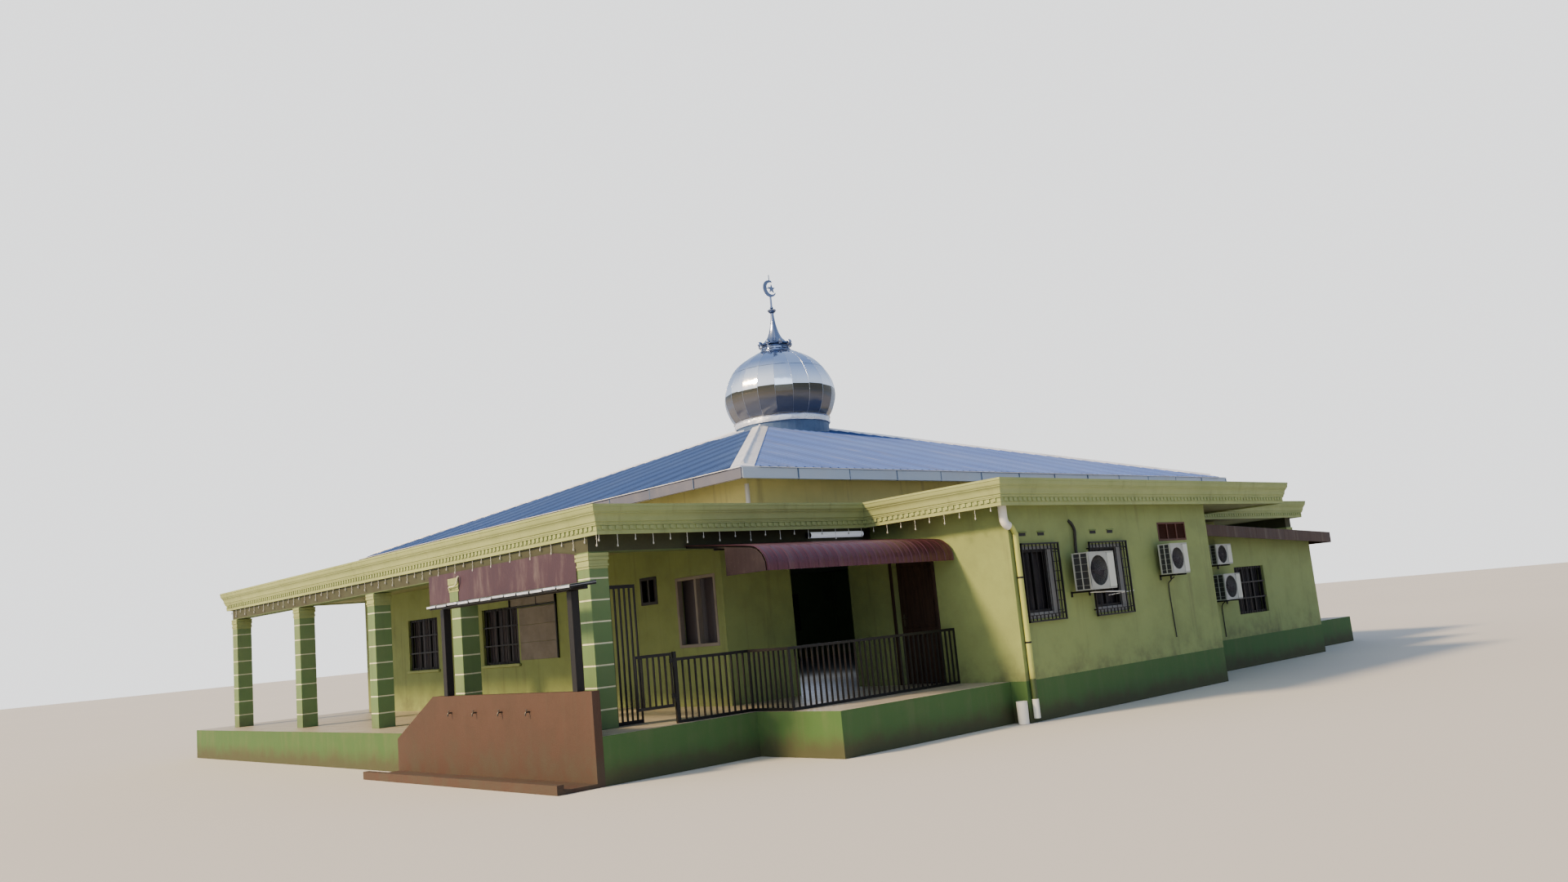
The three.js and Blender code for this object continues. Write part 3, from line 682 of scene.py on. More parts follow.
class Look(Enum):
    """The finishes that the building wears."""

    LIME = Paint("lime_plaster", (0.30, 0.37, 0.165), (0.255, 0.315, 0.145))
    # The upper walls wear the lime paint made much lighter and yellower: painted sunlight.
    UPPER_PAINTED_SUNLIGHT = Paint("upper_plaster_painted_sunlight", (0.88, 0.84, 0.42), (0.78, 0.76, 0.37), streaks=0.3, splash=0.0)
    LIME_TRIM = Paint("lime_moulding", (0.37, 0.43, 0.22), (0.32, 0.38, 0.19), streaks=0.3, splash=0.0, grain=0.002)
    # The green columns and beams carry painted shade above 3.09 m, under the cornice.
    GREEN = Paint("green_columns", (0.16, 0.26, 0.125), (0.19, 0.27, 0.14), streaks=0.25, grain=0.003, beam=3.09)
    CREAM = Paint("cream_lines", (0.74, 0.76, 0.58), (0.60, 0.62, 0.46), streaks=0.3, grain=0.002)
    FRAME = Enamel("window_frame_paint", (0.30, 0.27, 0.24), rough=0.5, grimy=0.3, chipped=0.1)
    # The salmon paint is darkened to near brown: painted shade over the wash wall.
    SALMON_PAINTED_SHADE = Paint("salmon_plaster_painted_shade", (0.105, 0.062, 0.046), (0.09, 0.058, 0.044), streaks=0.3, splash=0.6)
    STONE = Paint("grey_board", (0.27, 0.245, 0.225), (0.18, 0.165, 0.155), streaks=0.15, splash=0.0, grain=0.006)
    SLAB = Slab("veranda_slab")
    PLATFORM = Platform("floor_platform", (0.085, 0.17, 0.065), (0.115, 0.18, 0.08))
    ROOF_FRONT = Coated(
        "blue_sheet_front", (0.045, 0.125, 0.42), (0.075, 0.16, 0.45), (4, 0.25, 0.25), ribs="X", rough=0.5, metal=0.2,
        lap_shade=0.3
    )
    # The side slopes wear the front's blue sheet painted lighter: painted light, with stronger painted rib and
    # sheet-edge shade.
    ROOF_SIDE_PAINTED_LIGHT = Coated(
        "blue_sheet_side_painted_light", (0.20, 0.30, 0.55), (0.24, 0.34, 0.58), (0.25, 4, 0.25), ribs="Y", rough=0.5, metal=0.3,
        lines=0.6, lap_shade=0.5
    )
    FASCIA = Coated("grey_blue_fascia", (0.46, 0.55, 0.68), (0.50, 0.57, 0.68), (1, 1, 0.5), rough=0.42, dusty=0.2)
    # The side fascia is a much darker copy of the front's grey-blue panels: painted shade.
    FASCIA_SIDE_PAINTED_SHADE = Coated("grey_side_fascia_painted_shade", (0.135, 0.15, 0.21), (0.17, 0.18, 0.24), (1, 1, 0.5), rough=0.5, metal=0.0)
    HIP = Zinc("hip_sheet", (0.86, 0.88, 0.92), (0.70, 0.73, 0.78), metal=0.25, crease=0.012, crease_scale=5.0)
    FOIL = Zinc(
        "creased_flashing", (0.84, 0.88, 0.94), (0.60, 0.65, 0.74), rough=0.3, metal=0.6, crease=0.02, crease_scale=9.0
    )
    DRUM = Zinc("drum_sheet", (0.12, 0.19, 0.32), (0.09, 0.14, 0.24), rough=0.45, metal=0.3)
    LEAN_TO = Zinc("lean_to_sheet", (0.50, 0.50, 0.49), (0.30, 0.24, 0.19), rough=0.42, metal=0.7)
    MIRROR = Mirror("dome_panels", (0.93, 0.95, 0.98), (0.66, 0.72, 0.80))
    BRIGHT = Zinc("finial_sheet", (0.26, 0.30, 0.40), (0.16, 0.19, 0.27), rough=0.24, metal=1.0, spangled=0.1)
    SEAM = Zinc("seam_strips", (0.46, 0.51, 0.60), (0.30, 0.34, 0.42), rough=0.3, metal=1.0)
    EDGE = Zinc("roof_edge_strip", (0.84, 0.86, 0.90), (0.66, 0.69, 0.74), rough=0.5, metal=0.4)
    PANE = Pane("dark_panes")
    HALL_PANE = Pane("curtained_panes", (0.085, 0.072, 0.085), (0.16, 0.145, 0.155))
    DARK = Enamel("black_bars", (0.022, 0.022, 0.024), rough=0.4, metal=0.2, grimy=0.2, chipped=0.25)
    CASING = Enamel("cooler_casing", (0.42, 0.45, 0.44), (0.28, 0.26, 0.21), rough=0.4, grimy=0.45, chipped=0.1)
    BOX = Enamel("cooler_box", (0.60, 0.64, 0.60), (0.36, 0.34, 0.28), rough=0.35, grimy=0.3, chipped=0.1)
    SLEEVE = Enamel("grey_window_frame", (0.25, 0.26, 0.27), rough=0.45, grimy=0.3, chipped=0.1)
    VIOLET = Enamel("fan_shade", (0.075, 0.07, 0.085), rough=0.5, grimy=0.2, chipped=0.0)
    COIL = Enamel("cooler_fins", (0.10, 0.11, 0.12), rough=0.5, metal=0.5)
    WHITE = Enamel("white_plastic", (0.78, 0.79, 0.77), (0.35, 0.33, 0.28), rough=0.38, grimy=0.25, chipped=0.0)
    PIPE = Paint(
        "painted_pipe", (0.50, 0.56, 0.19), (0.44, 0.48, 0.17), rough=0.45, grain=0.001, lower=(0.065, 0.135, 0.04)
    )
    RED = Coated("red_sheet", (0.105, 0.038, 0.056), (0.13, 0.055, 0.078), (3, 0.4, 0.4), rough=0.34, dusty=0.15)
    # The awning's side wears the red sheet painted near black, with painted rib shade on a flat board: painted shade.
    CHEEK_PAINTED_SHADE = Coated(
        "red_side_sheet_painted_shade", (0.020, 0.012, 0.020), (0.027, 0.018, 0.027), ribs="Y", pitch=0.1, rough=0.5, metal=0.0,
        dusty=0.08,
    )
    MAROON = Coated("maroon_blind", (0.062, 0.034, 0.052), (0.088, 0.05, 0.072), (1, 2, 0.6), rough=0.5, metal=0.0)
    BROWN = Coated("brown_sheet", (0.06, 0.032, 0.024), (0.10, 0.06, 0.045), (3, 0.3, 0.3), rough=0.45)
    LOUVRE = Enamel("brown_louvre", (0.11, 0.045, 0.03), rough=0.5, chipped=0.1)
    DOOR = Timber("door_timber", (0.060, 0.033, 0.026), (0.026, 0.015, 0.013))
    HOSE = Enamel("pipe_lagging", (0.05, 0.05, 0.05), rough=0.75, chipped=0.0)
    BRASS = Enamel("tap_metal", (0.14, 0.13, 0.11), rough=0.4, metal=0.8)
    BULB = Enamel("lamp_white", (0.52, 0.53, 0.50), (0.42, 0.4, 0.34), rough=0.25, grimy=0.15, chipped=0.0)
    # The tube is painted with a faint glow: painted light standing in for the daylight it catches, since the lamp is
    # not lit.
    TUBE_PAINTED_GLOW = Enamel("tube_white_painted_glow", (0.80, 0.86, 0.95), (0.6, 0.6, 0.6), rough=0.3, grimy=0.1, chipped=0.0, glow=0.3)

    def material(self) -> bpy.types.Material:
        """Gives the finish's material."""
        return material(self.value)


# Meshes


class Run(Enum):
    """A level axis, along which a wall runs or across which a bar is measured."""

    X = "x"
    Y = "y"


@dataclass(frozen=True)
class Face:
    """A wall's outer face: places are measured along it, out from it and up."""

    run: Run
    at: float
    out: int

    def point(self, a: float, o: float, z: float) -> Point:
        """Gives the place a along the face, o out from it and z up."""
        away = self.at + self.out * o
        return (a, away, z) if self.run is Run.X else (away, a, z)


LEFT_WALL = Face(Run.Y, -HALL_X, -1)
RIGHT_WALL = Face(Run.Y, HALL_X, 1)
REAR_WALL = Face(Run.X, HALL_Y, 1)
BLOCK_WALL = Face(Run.X, BLOCK_FRONT, -1)
RETURN_WALL = Face(Run.Y, BLOCK_LEFT, -1)
WING_WALL = Face(Run.X, WING_FRONT, -1)


class Form:
    """Gathers the faces of one piece and makes its object."""

    def __init__(self) -> None:
        """Starts with nothing."""
        self.points: list[Point] = []
        self.faces: list[tuple[int, ...]] = []

    def add(self, points: Iterable[Point], faces: Iterable[tuple[int, ...]]) -> Form:
        """Adds points and the faces that join them.

        Args:
            points: The points.
            faces: The numbers of each face's points, counted from the first of these.

        Returns:
            The form itself.
        """
        start = len(self.points)
        self.points += [tuple(p) for p in points]
        self.faces += [tuple(start + i for i in face) for face in faces]
        return self

    def loft(self, rings: Sequence[Sequence[Point]], closed: bool = False) -> Form:
        """Joins rings of points by walls.

        Args:
            rings: Rings with the same number of points.
            closed: Whether the last ring joins the first, or both ends are capped.

        Returns:
            The form itself.
        """
        n, count = len(rings[0]), len(rings)
        faces = [
            (k * n + i, k * n + (i + 1) % n, (k + 1) % count * n + (i + 1) % n, (k + 1) % count * n + i)
            for k in range(count if closed else count - 1)
            for i in range(n)
        ]
        if not closed:
            faces += [tuple(range(n))[::-1], tuple(range((count - 1) * n, count * n))]
        return self.add([p for ring in rings for p in ring], faces)

    def box(self, x0: float, x1: float, y0: float, y1: float, z0: float, z1: float) -> Form:
        """Adds a square block between two corners."""
        return self.loft([[(x, y, z) for x, y in oblong((x0, x1), (y0, y1))] for z in (z0, z1)])

    def block(self, face: Face, a: Pair, o: Pair, z: Pair) -> Form:
        """Adds a square block on a wall's face, by its spans along, out and up."""
        return self.loft([[face.point(along, out, height) for along, out in oblong(a, o)] for height in z])

    def border(self, face: Face, a: Pair, o: Pair, z: Pair, wide: float) -> Form:
        """Adds four members round a rectangle on a wall's face.

        Args:
            face: The wall's face.
            a: The rectangle's span along it.
            o: The members' span out from it.
            z: The rectangle's span in height.
            wide: The width of a member.

        Returns:
            The form itself.
        """
        for height in ((z[0], z[0] + wide), (z[1] - wide, z[1])):
            self.block(face, a, o, height)
        for along in ((a[0], a[0] + wide), (a[1] - wide, a[1])):
            self.block(face, along, o, z)
        return self

    def sheet(self, lines: Sequence[Sequence[Point]], thick: float = 0.004) -> Form:
        """Joins lines of points into a thin sheet that hangs under them."""
        return self.loft([[*line, *((x, y, z - thick) for x, y, z in reversed(line))] for line in lines])

    def beam(self, path: Sequence[Point], across: Run, side: Pair, up: Pair) -> Form:
        """Adds a square bar along a path.

        Args:
            path: The line that it follows.
            across: The axis that lies across it.
            side: Its span along that axis.
            up: Its span in height.

        Returns:
            The form itself.
        """
        dx, dy = (1, 0) if across is Run.X else (0, 1)
        return self.loft([[(x + dx * s, y + dy * s, z + h) for s, h in oblong(side, up)] for x, y, z in path])

    def tube(self, path: Sequence[Point], radius: float | Sequence[float], sides: int) -> Form:
        """Adds a round bar along a path.

        Args:
            path: The middle line.
            radius: One radius, or one for each point.
            sides: How many flats go round.

        Returns:
            The form itself.
        """
        line = [Vector(p) for p in path]
        radii = [radius] * len(line) if isinstance(radius, (int, float)) else list(radius)
        rings, side = [], None
        for i, middle in enumerate(line):
            ahead = (line[min(i + 1, len(line) - 1)] - line[max(i - 1, 0)]).normalized()
            if side is None:
                side = ahead.cross(Vector((0, 0, 1)) if abs(ahead.z) < 0.9 else Vector((1, 0, 0)))
            side = (side - ahead * side.dot(ahead)).normalized()
            other = ahead.cross(side)
            rings.append([tuple(middle + (side * math.cos(t) + other * math.sin(t)) * radii[i]) for t in turns(sides)])
        return self.loft(rings)

    def lathe(
        self, outline: Sequence[Pair], sides: int, centre: Point = (0, 0, 0), turn: float = 0.0, closed: bool = False
    ) -> Form:
        """Turns an outline of radius and height about an upright line.

        Args:
            outline: The radii and heights.
            sides: How many flats go round.
            centre: The foot of the upright line.
            turn: The direction of the first corner, in degrees.
            closed: Whether the outline closes on itself as a ring.

        Returns:
            The form itself.
        """
        x, y, z = centre
        rings = [[spoke(max(r, 1e-4), t, h) for t in turns(sides, math.radians(turn))] for r, h in outline]
        return self.loft([[(x + px, y + py, z + pz) for px, py, pz in ring] for ring in rings], closed)

    def hoop(self, r: Pair, h: Pair, sides: int = 32, centre: Point = (0, 0, 0), turn: float = 0.0) -> Form:
        """Turns a rectangle, by its spans in radius and height, into a ring."""
        return self.lathe(oblong(r, h), sides, centre, turn, closed=True)

    def ball(self, centre: Point, radius: float, sides: int) -> Form:
        """Adds a small round bead."""
        arc = [math.pi * (2 * k / sides - 0.5) for k in range(sides // 2 + 1)]
        return self.lathe([(radius * math.cos(t), radius * math.sin(t)) for t in arc], sides, centre)

    def moved(self, matrix: Matrix) -> Form:
        """Moves everything gathered so far."""
        self.points = [tuple(matrix @ Vector(p)) for p in self.points]
        return self

    def join(self, other: Form) -> Form:
        """Takes in another form."""
        return self.add(other.points, other.faces)

    def piece(
        self,
        name: str,
        look: Look,
        slot: Slot,
        stands_for: Sequence[str] = (),
        body: Body = Body.BUILDING,
        bevel: float = 0.0,
        smooth: float | None = None,
    ) -> bpy.types.Object:
        """Makes the object, lets it ride on its body and reports it.

        Args:
            name: The piece's name.
            look: Its finish.
            slot: The record's material slot; not used.
            stands_for: The model's nodes that it replaces.
            body: The body that it rides on.
            bevel: How wide its edges are rounded, in metres.
            smooth: The angle, in degrees, below which edges are shaded smooth.

        Returns:
            The object.
        """
        mesh = bpy.data.meshes.new(name)
        mesh.from_pydata(self.points, [], self.faces)
        shell = bmesh.new()
        shell.from_mesh(mesh)
        bmesh.ops.recalc_face_normals(shell, faces=shell.faces)
        shell.to_mesh(mesh)
        shell.free()
        mesh.materials.append(look.material())
        made = stand(name, mesh)
        if smooth is not None:
            mesh.shade_smooth()
            mesh.set_sharp_from_angle(angle=math.radians(smooth))
        if bevel:
            edge = made.modifiers.new("edges", "BEVEL")
            edge.width, edge.segments, edge.limit_method, edge.angle_limit = bevel, 2, "ANGLE", math.radians(35)
        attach(made, body.value)
        if stands_for:
            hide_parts(*stands_for)
        LOG.info("%s: %d faces on %s", name, len(mesh.polygons), body.value)
        return made


def stand(name: str, data: bpy.types.ID) -> bpy.types.Object:
    """Puts an object with its data into the scene.

    Args:
        name: The object's name.
        data: Its mesh, lamp or camera.

    Returns:
        The object.
    """
    made = bpy.data.objects.new(name, data)
    bpy.context.scene.collection.objects.link(made)
    return made


def dress(look: Look, *names: str) -> None:
    """Gives the model's own nodes a finish.

    Args:
        look: The finish.
        *names: The nodes.
    """
    for name in names:
        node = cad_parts[name]
        for held in node.material_slots:
            held.material = look.material()
        LOG.info("%s: %s", name, look.value.name)


# The roof of the hall


@dataclass
class HippedRoof:
    """Ribbed blue sheet on four slopes, with lapped fascia panels and hip covers."""

    eave_x: float = 7.95
    eave_y: float = 7.5
    eave_z: float = 4.4
    rise: float = 2.38
    ridge: float = 0.74
    overhang: float = 0.06
    lift: float = 0.014
    pitch: float = 0.2
    rib: float = 0.026
    section: Outline = (
        (-0.024, 0.0), (-0.012, 1.0), (0.012, 1.0), (0.024, 0.0), (0.085, 0.0), (0.1, 0.16), (0.115, 0.0),
    )
    cap_half: float = 0.185
    drum: float = 1.19
    panel: float = 1.22
    fascia: Pair = (4.203, 4.392)
    roll: float = 0.032
    roll_ends: Pair = (0.03, 0.94)

    def _slope(self, along: float, up: float, ridge: float, turn: Callable[[float, float], Pair]) -> Form:
        """Builds one slope of pans, small ribs and ribs, cut along its hips and round the drum.

        Args:
            along: Half the eave's length.
            up: The slope's depth in plan.
            ridge: Half the ridge's length on this side.
            turn: Gives X and Y for a place along the eave and a distance up the slope.

        Returns:
            The form.
        """
        flat, foot, lines = along - ridge, self.eave_z + self.lift, []
        count, cut = int(along / self.pitch), self.cap_half * (math.hypot(flat, up) / flat)
        for s, h in ((k * self.pitch + d, h * self.rib) for k in range(-count - 1, count + 2) for d, h in self.section):
            top = up * (along - abs(s)) / flat - cut
            if abs(s) < self.drum:
                top = min(top, up - math.sqrt(self.drum**2 - s * s) + 0.01)
            if abs(s) < along - 0.02 and top >= 0.05:
                stops = ((-self.overhang, h), (max(top - 0.07, 0.0), h), (top, min(h, 0.004)))
                lines.append([(*turn(s, t), foot + self.rise * (t / up) + high) for t, high in stops])
        return Form().sheet(lines)

    def build_sheets(self) -> None:
        """Builds the sheets of the four slopes."""
        x, y = self.eave_x, self.eave_y
        # The side slopes take the lighter copy of the blue sheet, which is painted light.
        sides = {
            "front": (x, y, self.ridge, lambda s, t: (s, t - y), Look.ROOF_FRONT),
            "rear": (x, y, self.ridge, lambda s, t: (-s, y - t), Look.ROOF_FRONT),
            "left": (y, x - self.ridge, 0.0, lambda s, t: (t - x, -s), Look.ROOF_SIDE_PAINTED_LIGHT),
            "right": (y, x - self.ridge, 0.0, lambda s, t: (x - t, s), Look.ROOF_SIDE_PAINTED_LIGHT),
        }
        for side, (along, up, ridge, turn, look) in sides.items():
            self._slope(along, up, ridge, turn).piece(f"roof_sheet_{side}", look, Slot.ROOF)
            dress(look, f"roof_{side}")

    def build_fascia(self) -> None:
        """Builds the panels along the eaves, folded at the foot, and the pale strip over them."""
        x, y, (low, high) = self.eave_x + 0.03, self.eave_y + 0.03, self.fascia
        strip, joints = Form(), Form()
        # The side panels take the darker copy of the fascia, which is painted shade.
        for name, look, faces, half in (
            ("front_and_rear", Look.FASCIA, (Face(Run.X, -y, -1), Face(Run.X, y, 1)), x),
            ("sides", Look.FASCIA_SIDE_PAINTED_SHADE, (Face(Run.Y, -x, -1), Face(Run.Y, x, 1)), y),
        ):
            form, count = Form(), round(2 * half / self.panel)
            for n, face in enumerate(faces):
                for k in range(count):
                    a0, a1 = (-half + 2 * half * (k + d) / count + e for d, e in ((0.0, 0.004), (1.0, -0.004)))
                    near, far = 0.006 + 0.012 * scatter(k, n), 0.008 + 0.014 * scatter(k, n, 2)
                    foot = low + 0.012 * scatter(k, n, 5)
                    ends = [(a0, 0.0), (a0, near), (a1, far), (a1, 0.0)]
                    form.loft([[face.point(a, o, z) for a, o in ends] for z in (foot, high)])
                    form.block(face, (a0, a1), (0.0, 0.026), (foot, foot + 0.01))
                    joints.block(face, (a1 - 0.002, a1 + 0.014), (0.0, 0.024), (low, high - 0.004))
                strip.block(face, (-half, half), (0.032, 0.038), (high + 0.002, high + 0.014))
            form.piece(f"fascia_panels_{name}", look, Slot.TRIM, bevel=0.0015)
        joints.piece("fascia_joints", Look.DRUM, Slot.TRIM)
        strip.piece("roof_edge_strip", Look.EDGE, Slot.TRIM)
        dress(Look.FASCIA, "eave_fascia")

    def build_rolls(self) -> None:
        """Builds the rolled edge that runs up the middle of each hip cover, short of the drum."""
        form = Form()
        for side, end in ((-1, -1), (1, -1), (1, 1), (-1, 1)):
            form.tube([
                (side * (self.eave_x - (self.eave_x - self.ridge) * t), end * self.eave_y * (1 - t),
                 self.eave_z + self.rise * t + 0.034) for t in self.roll_ends
            ], self.roll, 12)
        form.piece("hip_rolls", Look.EDGE, Slot.TRIM, smooth=40)

    def build(self) -> None:
        """Builds the roof's sheets, fascia and hip finishes."""
        self.build_rolls()
        self.build_sheets()
        self.build_fascia()
        dress(Look.HIP, *(f"hip_cap_{c}" for c in ("front_left", "front_right", "rear_right", "rear_left")))


# The dome


@dataclass
class Dome:
    """Onion dome of bright flat gores on a low drum, with its finial."""

    foot: float = 6.88
    outline: Outline = (
        (1.180, 0.0), (1.285, 0.15), (1.360, 0.33), (1.408, 0.5), (1.420, 0.65), (1.400, 0.83),
        (1.350, 1.0), (1.250, 1.2), (1.100, 1.41), (0.870, 1.6), (0.505, 1.8), (0.400, 1.83),
    )
    flashing: Outline = (
        (1.186, 6.735), (1.215, 6.74), (1.225, 6.80), (1.212, 6.872), (1.236, 6.892), (1.205, 6.905), (1.186, 6.84),
    )
    finial_foot: float = 8.7103
    collar: Outline = (
        (0, 0), (0.405, 0), (0.412, 0.012), (0.41, 0.03), (0.36, 0.045), (0.352, 0.06), (0.352, 0.11), (0.37, 0.118),
        (0.385, 0.14), (0.36, 0.155), (0, 0.155),
    )
    flare: Outline = (
        (0, 0.15), (0.33, 0.15), (0.39, 0.18), (0.412, 0.2), (0.40, 0.215), (0.31, 0.25), (0, 0.25),
    )
    petal: Outline = (
        (0.36, 0.17), (0.40, 0.185), (0.425, 0.21), (0.415, 0.24), (0.385, 0.243), (0.375, 0.225),
    )
    cone: Outline = (
        (0.325, 0.24), (0.30, 0.26), (0.255, 0.31), (0.20, 0.37), (0.15, 0.47), (0.115, 0.57), (0.085, 0.69),
        (0.062, 0.82), (0.048, 0.93), (0.04, 1.05),
    )
    stem: Outline = (
        (0, 1.04), (0.05, 1.045), (0.09, 1.075), (0.112, 1.11), (0.112, 1.122), (0.09, 1.14), (0.04, 1.155),
        (0.03, 1.165), (0.045, 1.18), (0.045, 1.2), (0.028, 1.215), (0.024, 1.478), (0, 1.478),
    )

    def _profile(self) -> list[Pair]:
        """Gives the dome's outline as radii and heights."""
        return [(r, z + self.foot) for r, z in smooth_run(self.outline, 3)]

    def build_gores(self) -> None:
        """Builds the panels, each of them a little out of line with its neighbours."""
        form, step = Form(), 2 * math.pi / GORES
        for k, start in enumerate(turns(GORES, math.radians(GORE_TURN))):
            tilt = 0.006 * (scatter(k, 3) - 0.5)
            rings = []
            for r, z in self._profile():
                tier = (z > TIERS[0]) + (z > TIERS[1])
                belly = 0.006 * math.sin(math.pi * min(1.0, max(0.0, (z - self.foot) / 1.8)))
                puff = belly + 0.004 * scatter(k, tier) - 0.002
                outer = []
                for share in (0.0, 0.25, 0.5, 0.75, 1.0):
                    flat = r * math.cos(step / 2) / math.cos((share - 0.5) * step)
                    swell = puff * 4 * share * (1 - share) + tilt * (share - 0.5)
                    outer.append(spoke(flat + swell, start + share * step, z))
                inner = [(x * (1 - 0.02 / r), y * (1 - 0.02 / r), z) for x, y, z in reversed(outer)]
                rings.append(outer + inner)
            form.loft(rings)
        form.piece("dome_gores", Look.MIRROR, Slot.DOME, ["dome_shell"], smooth=22)

    def build_seams(self) -> None:
        """Builds the folded seams between the gores and round the foot of the upper tier."""
        form, profile, z = Form(), self._profile(), TIERS[1]
        for start in turns(GORES, math.radians(GORE_TURN)):
            form.tube([spoke(r, start, height) for r, height in profile], 0.003, 6)
        i = next(n for n, p in enumerate(profile) if p[1] > z)
        (r0, z0), (r1, z1) = profile[i - 1], profile[i]
        r = r0 + (r1 - r0) * (z - z0) / (z1 - z0)
        form.hoop((r - 0.012, r + 0.001), about(z, 0.004), GORES, turn=GORE_TURN)
        form.piece("dome_seams", Look.SEAM, Slot.DOME, smooth=40)

    def build_flashing(self) -> None:
        """Builds the creased flashing where the drum meets the roof."""
        rings = []
        for k, angle in enumerate(turns(72)):
            shift = [0.018 * (scatter(k, n) - 0.5) for n in range(len(self.flashing))]
            rings.append([spoke(r + max(d, -0.002), angle, z + 0.6 * d) for (r, z), d in zip(self.flashing, shift)])
        Form().loft(rings, closed=True).piece("dome_flashing", Look.FOIL, Slot.DOME, smooth=20)
        dress(Look.DRUM, "dome_drum")

    def build_finial(self) -> None:
        """Builds the finial: a panelled collar, a petalled flare, a ribbed cone, a disc and a stem."""
        form, base = Form(), self.finial_foot
        for outline, sides in ((self.collar, 40), (self.flare, 40), (self.stem, 32)):
            form.lathe(outline, sides, (0, 0, base))
        for turn in turns(12):
            panel = Form().box(0.335, 0.366, -0.065, 0.065, base + 0.062, base + 0.106)
            form.join(panel.moved(Matrix.Rotation(turn, 4, "Z")))
        for turn in turns(8, math.pi / 8):
            path = [spoke(r, turn, base + h) for r, h in smooth_run(self.petal, 3)]
            form.tube(path, [0.052 - 0.001 * i for i in range(len(path))], 10)
        form.loft([
            [spoke(r * (0.95 + 0.05 * abs(math.cos(6 * t))), t, base + h) for t in turns(96)]
            for r, h in smooth_run(self.cone, 2)
        ])
        form.piece("dome_finial_sheet", Look.BRIGHT, Slot.DOME, ["dome_finial"], smooth=35)
        dress(Look.BRIGHT, "crescent_and_star")

    def build(self) -> None:
        """Builds the dome from its foot to its tip."""
        self.build_gores()
        self.build_seams()
        self.build_flashing()
        self.build_finial()


# The veranda


@dataclass
class Cornice:
    """Moulded cornice round the flat roofs, with small blocks under it and hanging lamps."""

    corners: tuple[tuple[float, float, int, int], ...] = (
        (-RING_X, -RING_Y, -1, -1), (-5.63, -RING_Y, -1, -1), (-5.63, -10.78, -1, -1), (3.75, -10.78, 1, -1),
        (3.75, -RING_Y, 1, -1), (RING_X, -RING_Y, 1, -1), (RING_X, RING_Y, 1, 1), (-RING_X, RING_Y, -1, 1),
    )
    section: Outline = (
        (0.001, 3.32), (0.04, 3.32), (0.04, 3.372), (0.046, 3.374), (0.046, 3.382), (0.042, 3.384), (0.042, 3.442),
        (0.060, 3.446), (0.060, 3.462), (0.066, 3.466), (0.070, 3.478), (0.066, 3.488), (0.072, 3.494), (0.080, 3.50),
        (0.084, 3.52), (0.087, 3.545), (0.093, 3.57), (0.103, 3.592), (0.115, 3.608), (0.118, 3.61), (0.118, 3.622),
        (0.124, 3.626), (0.134, 3.64), (0.140, 3.66), (0.1405, 3.68), (0.142, 3.684), (0.142, 3.70), (0.150, 3.704),
        (0.150, 3.74), (0.060, 3.74), (0.001, 3.60),
    )
    block_pitch: float = 0.12
    block_wide: float = 0.062
    lamp_pitch: float = 0.3
    lamp: Outline = (
        (0, -0.024), (0.009, -0.021), (0.013, -0.01), (0.012, 0.003), (0.007, 0.013), (0.006, 0.024), (0, 0.026),
    )
    lamp_runs: tuple[tuple[Pair, Pair], ...] = (
        ((-RING_X - 0.025, 7.6), (-RING_X - 0.025, -RING_Y)),
        ((-RING_X, -RING_Y - 0.025), (-5.75, -RING_Y - 0.025)),
        ((-5.655, -8.1), (-5.655, -10.6)),
    )

    def build_moulding(self) -> None:
        """Builds the moulding and the row of blocks."""
        form = Form()
        form.loft([[(x + ox * o, y + oy * o, z) for o, z in self.section] for x, y, ox, oy in self.corners], True)
        for (x0, y0, *_), (x1, y1, *_) in zip(self.corners, self.corners[1:] + self.corners[:1]):
            run, at, ends = (Run.X, y0, sorted((x0, x1))) if y0 == y1 else (Run.Y, x0, sorted((y0, y1)))
            face = Face(run, at, -1 if at < 0 else 1)
            count = int((ends[1] - ends[0] + 0.06) / self.block_pitch)
            first = (ends[0] + ends[1] - (count - 1) * self.block_pitch) / 2
            for k in range(count):
                a = about(first + k * self.block_pitch, self.block_wide / 2)
                form.block(face, a, (0.041, 0.0615), (3.386, 3.4405))
        stands_for = [f"cornice_{side}" for side in ("left", "front", "right", "rear")]
        form.piece("cornice_moulding", Look.LIME_TRIM, Slot.CORNICE, stands_for, smooth=28)

    def build_lamps(self) -> None:
        """Builds the row of small lamps that hang under the cornice of the veranda."""
        stems, lamps = Form(), Form()
        for n, ((x0, y0), (x1, y1)) in enumerate(self.lamp_runs):
            count = int(math.hypot(x1 - x0, y1 - y0) / self.lamp_pitch)
            for k in range(count + 1):
                x, y = x0 + (x1 - x0) * k / count, y0 + (y1 - y0) * k / count
                drop = 0.04 + 0.08 * (k % 2) + 0.03 * scatter(k, n)
                stems.tube([(x, y, 3.33), (x + 0.004, y, 3.32 - drop / 2), (x, y, 3.32 - drop)], 0.004, 5)
                lamps.lathe(self.lamp, 8, (x, y, 3.31 - drop))
                if k % 2:
                    lamps.ball((x, y, 3.32 - drop * 0.45), 0.009, 8)
        stems.piece("lamp_stems", Look.WHITE, Slot.WHITE)
        lamps.piece("hanging_lamps", Look.BULB, Slot.WHITE, smooth=50)

    def build(self) -> None:
        """Builds the cornice and its lamps."""
        self.build_moulding()
        self.build_lamps()


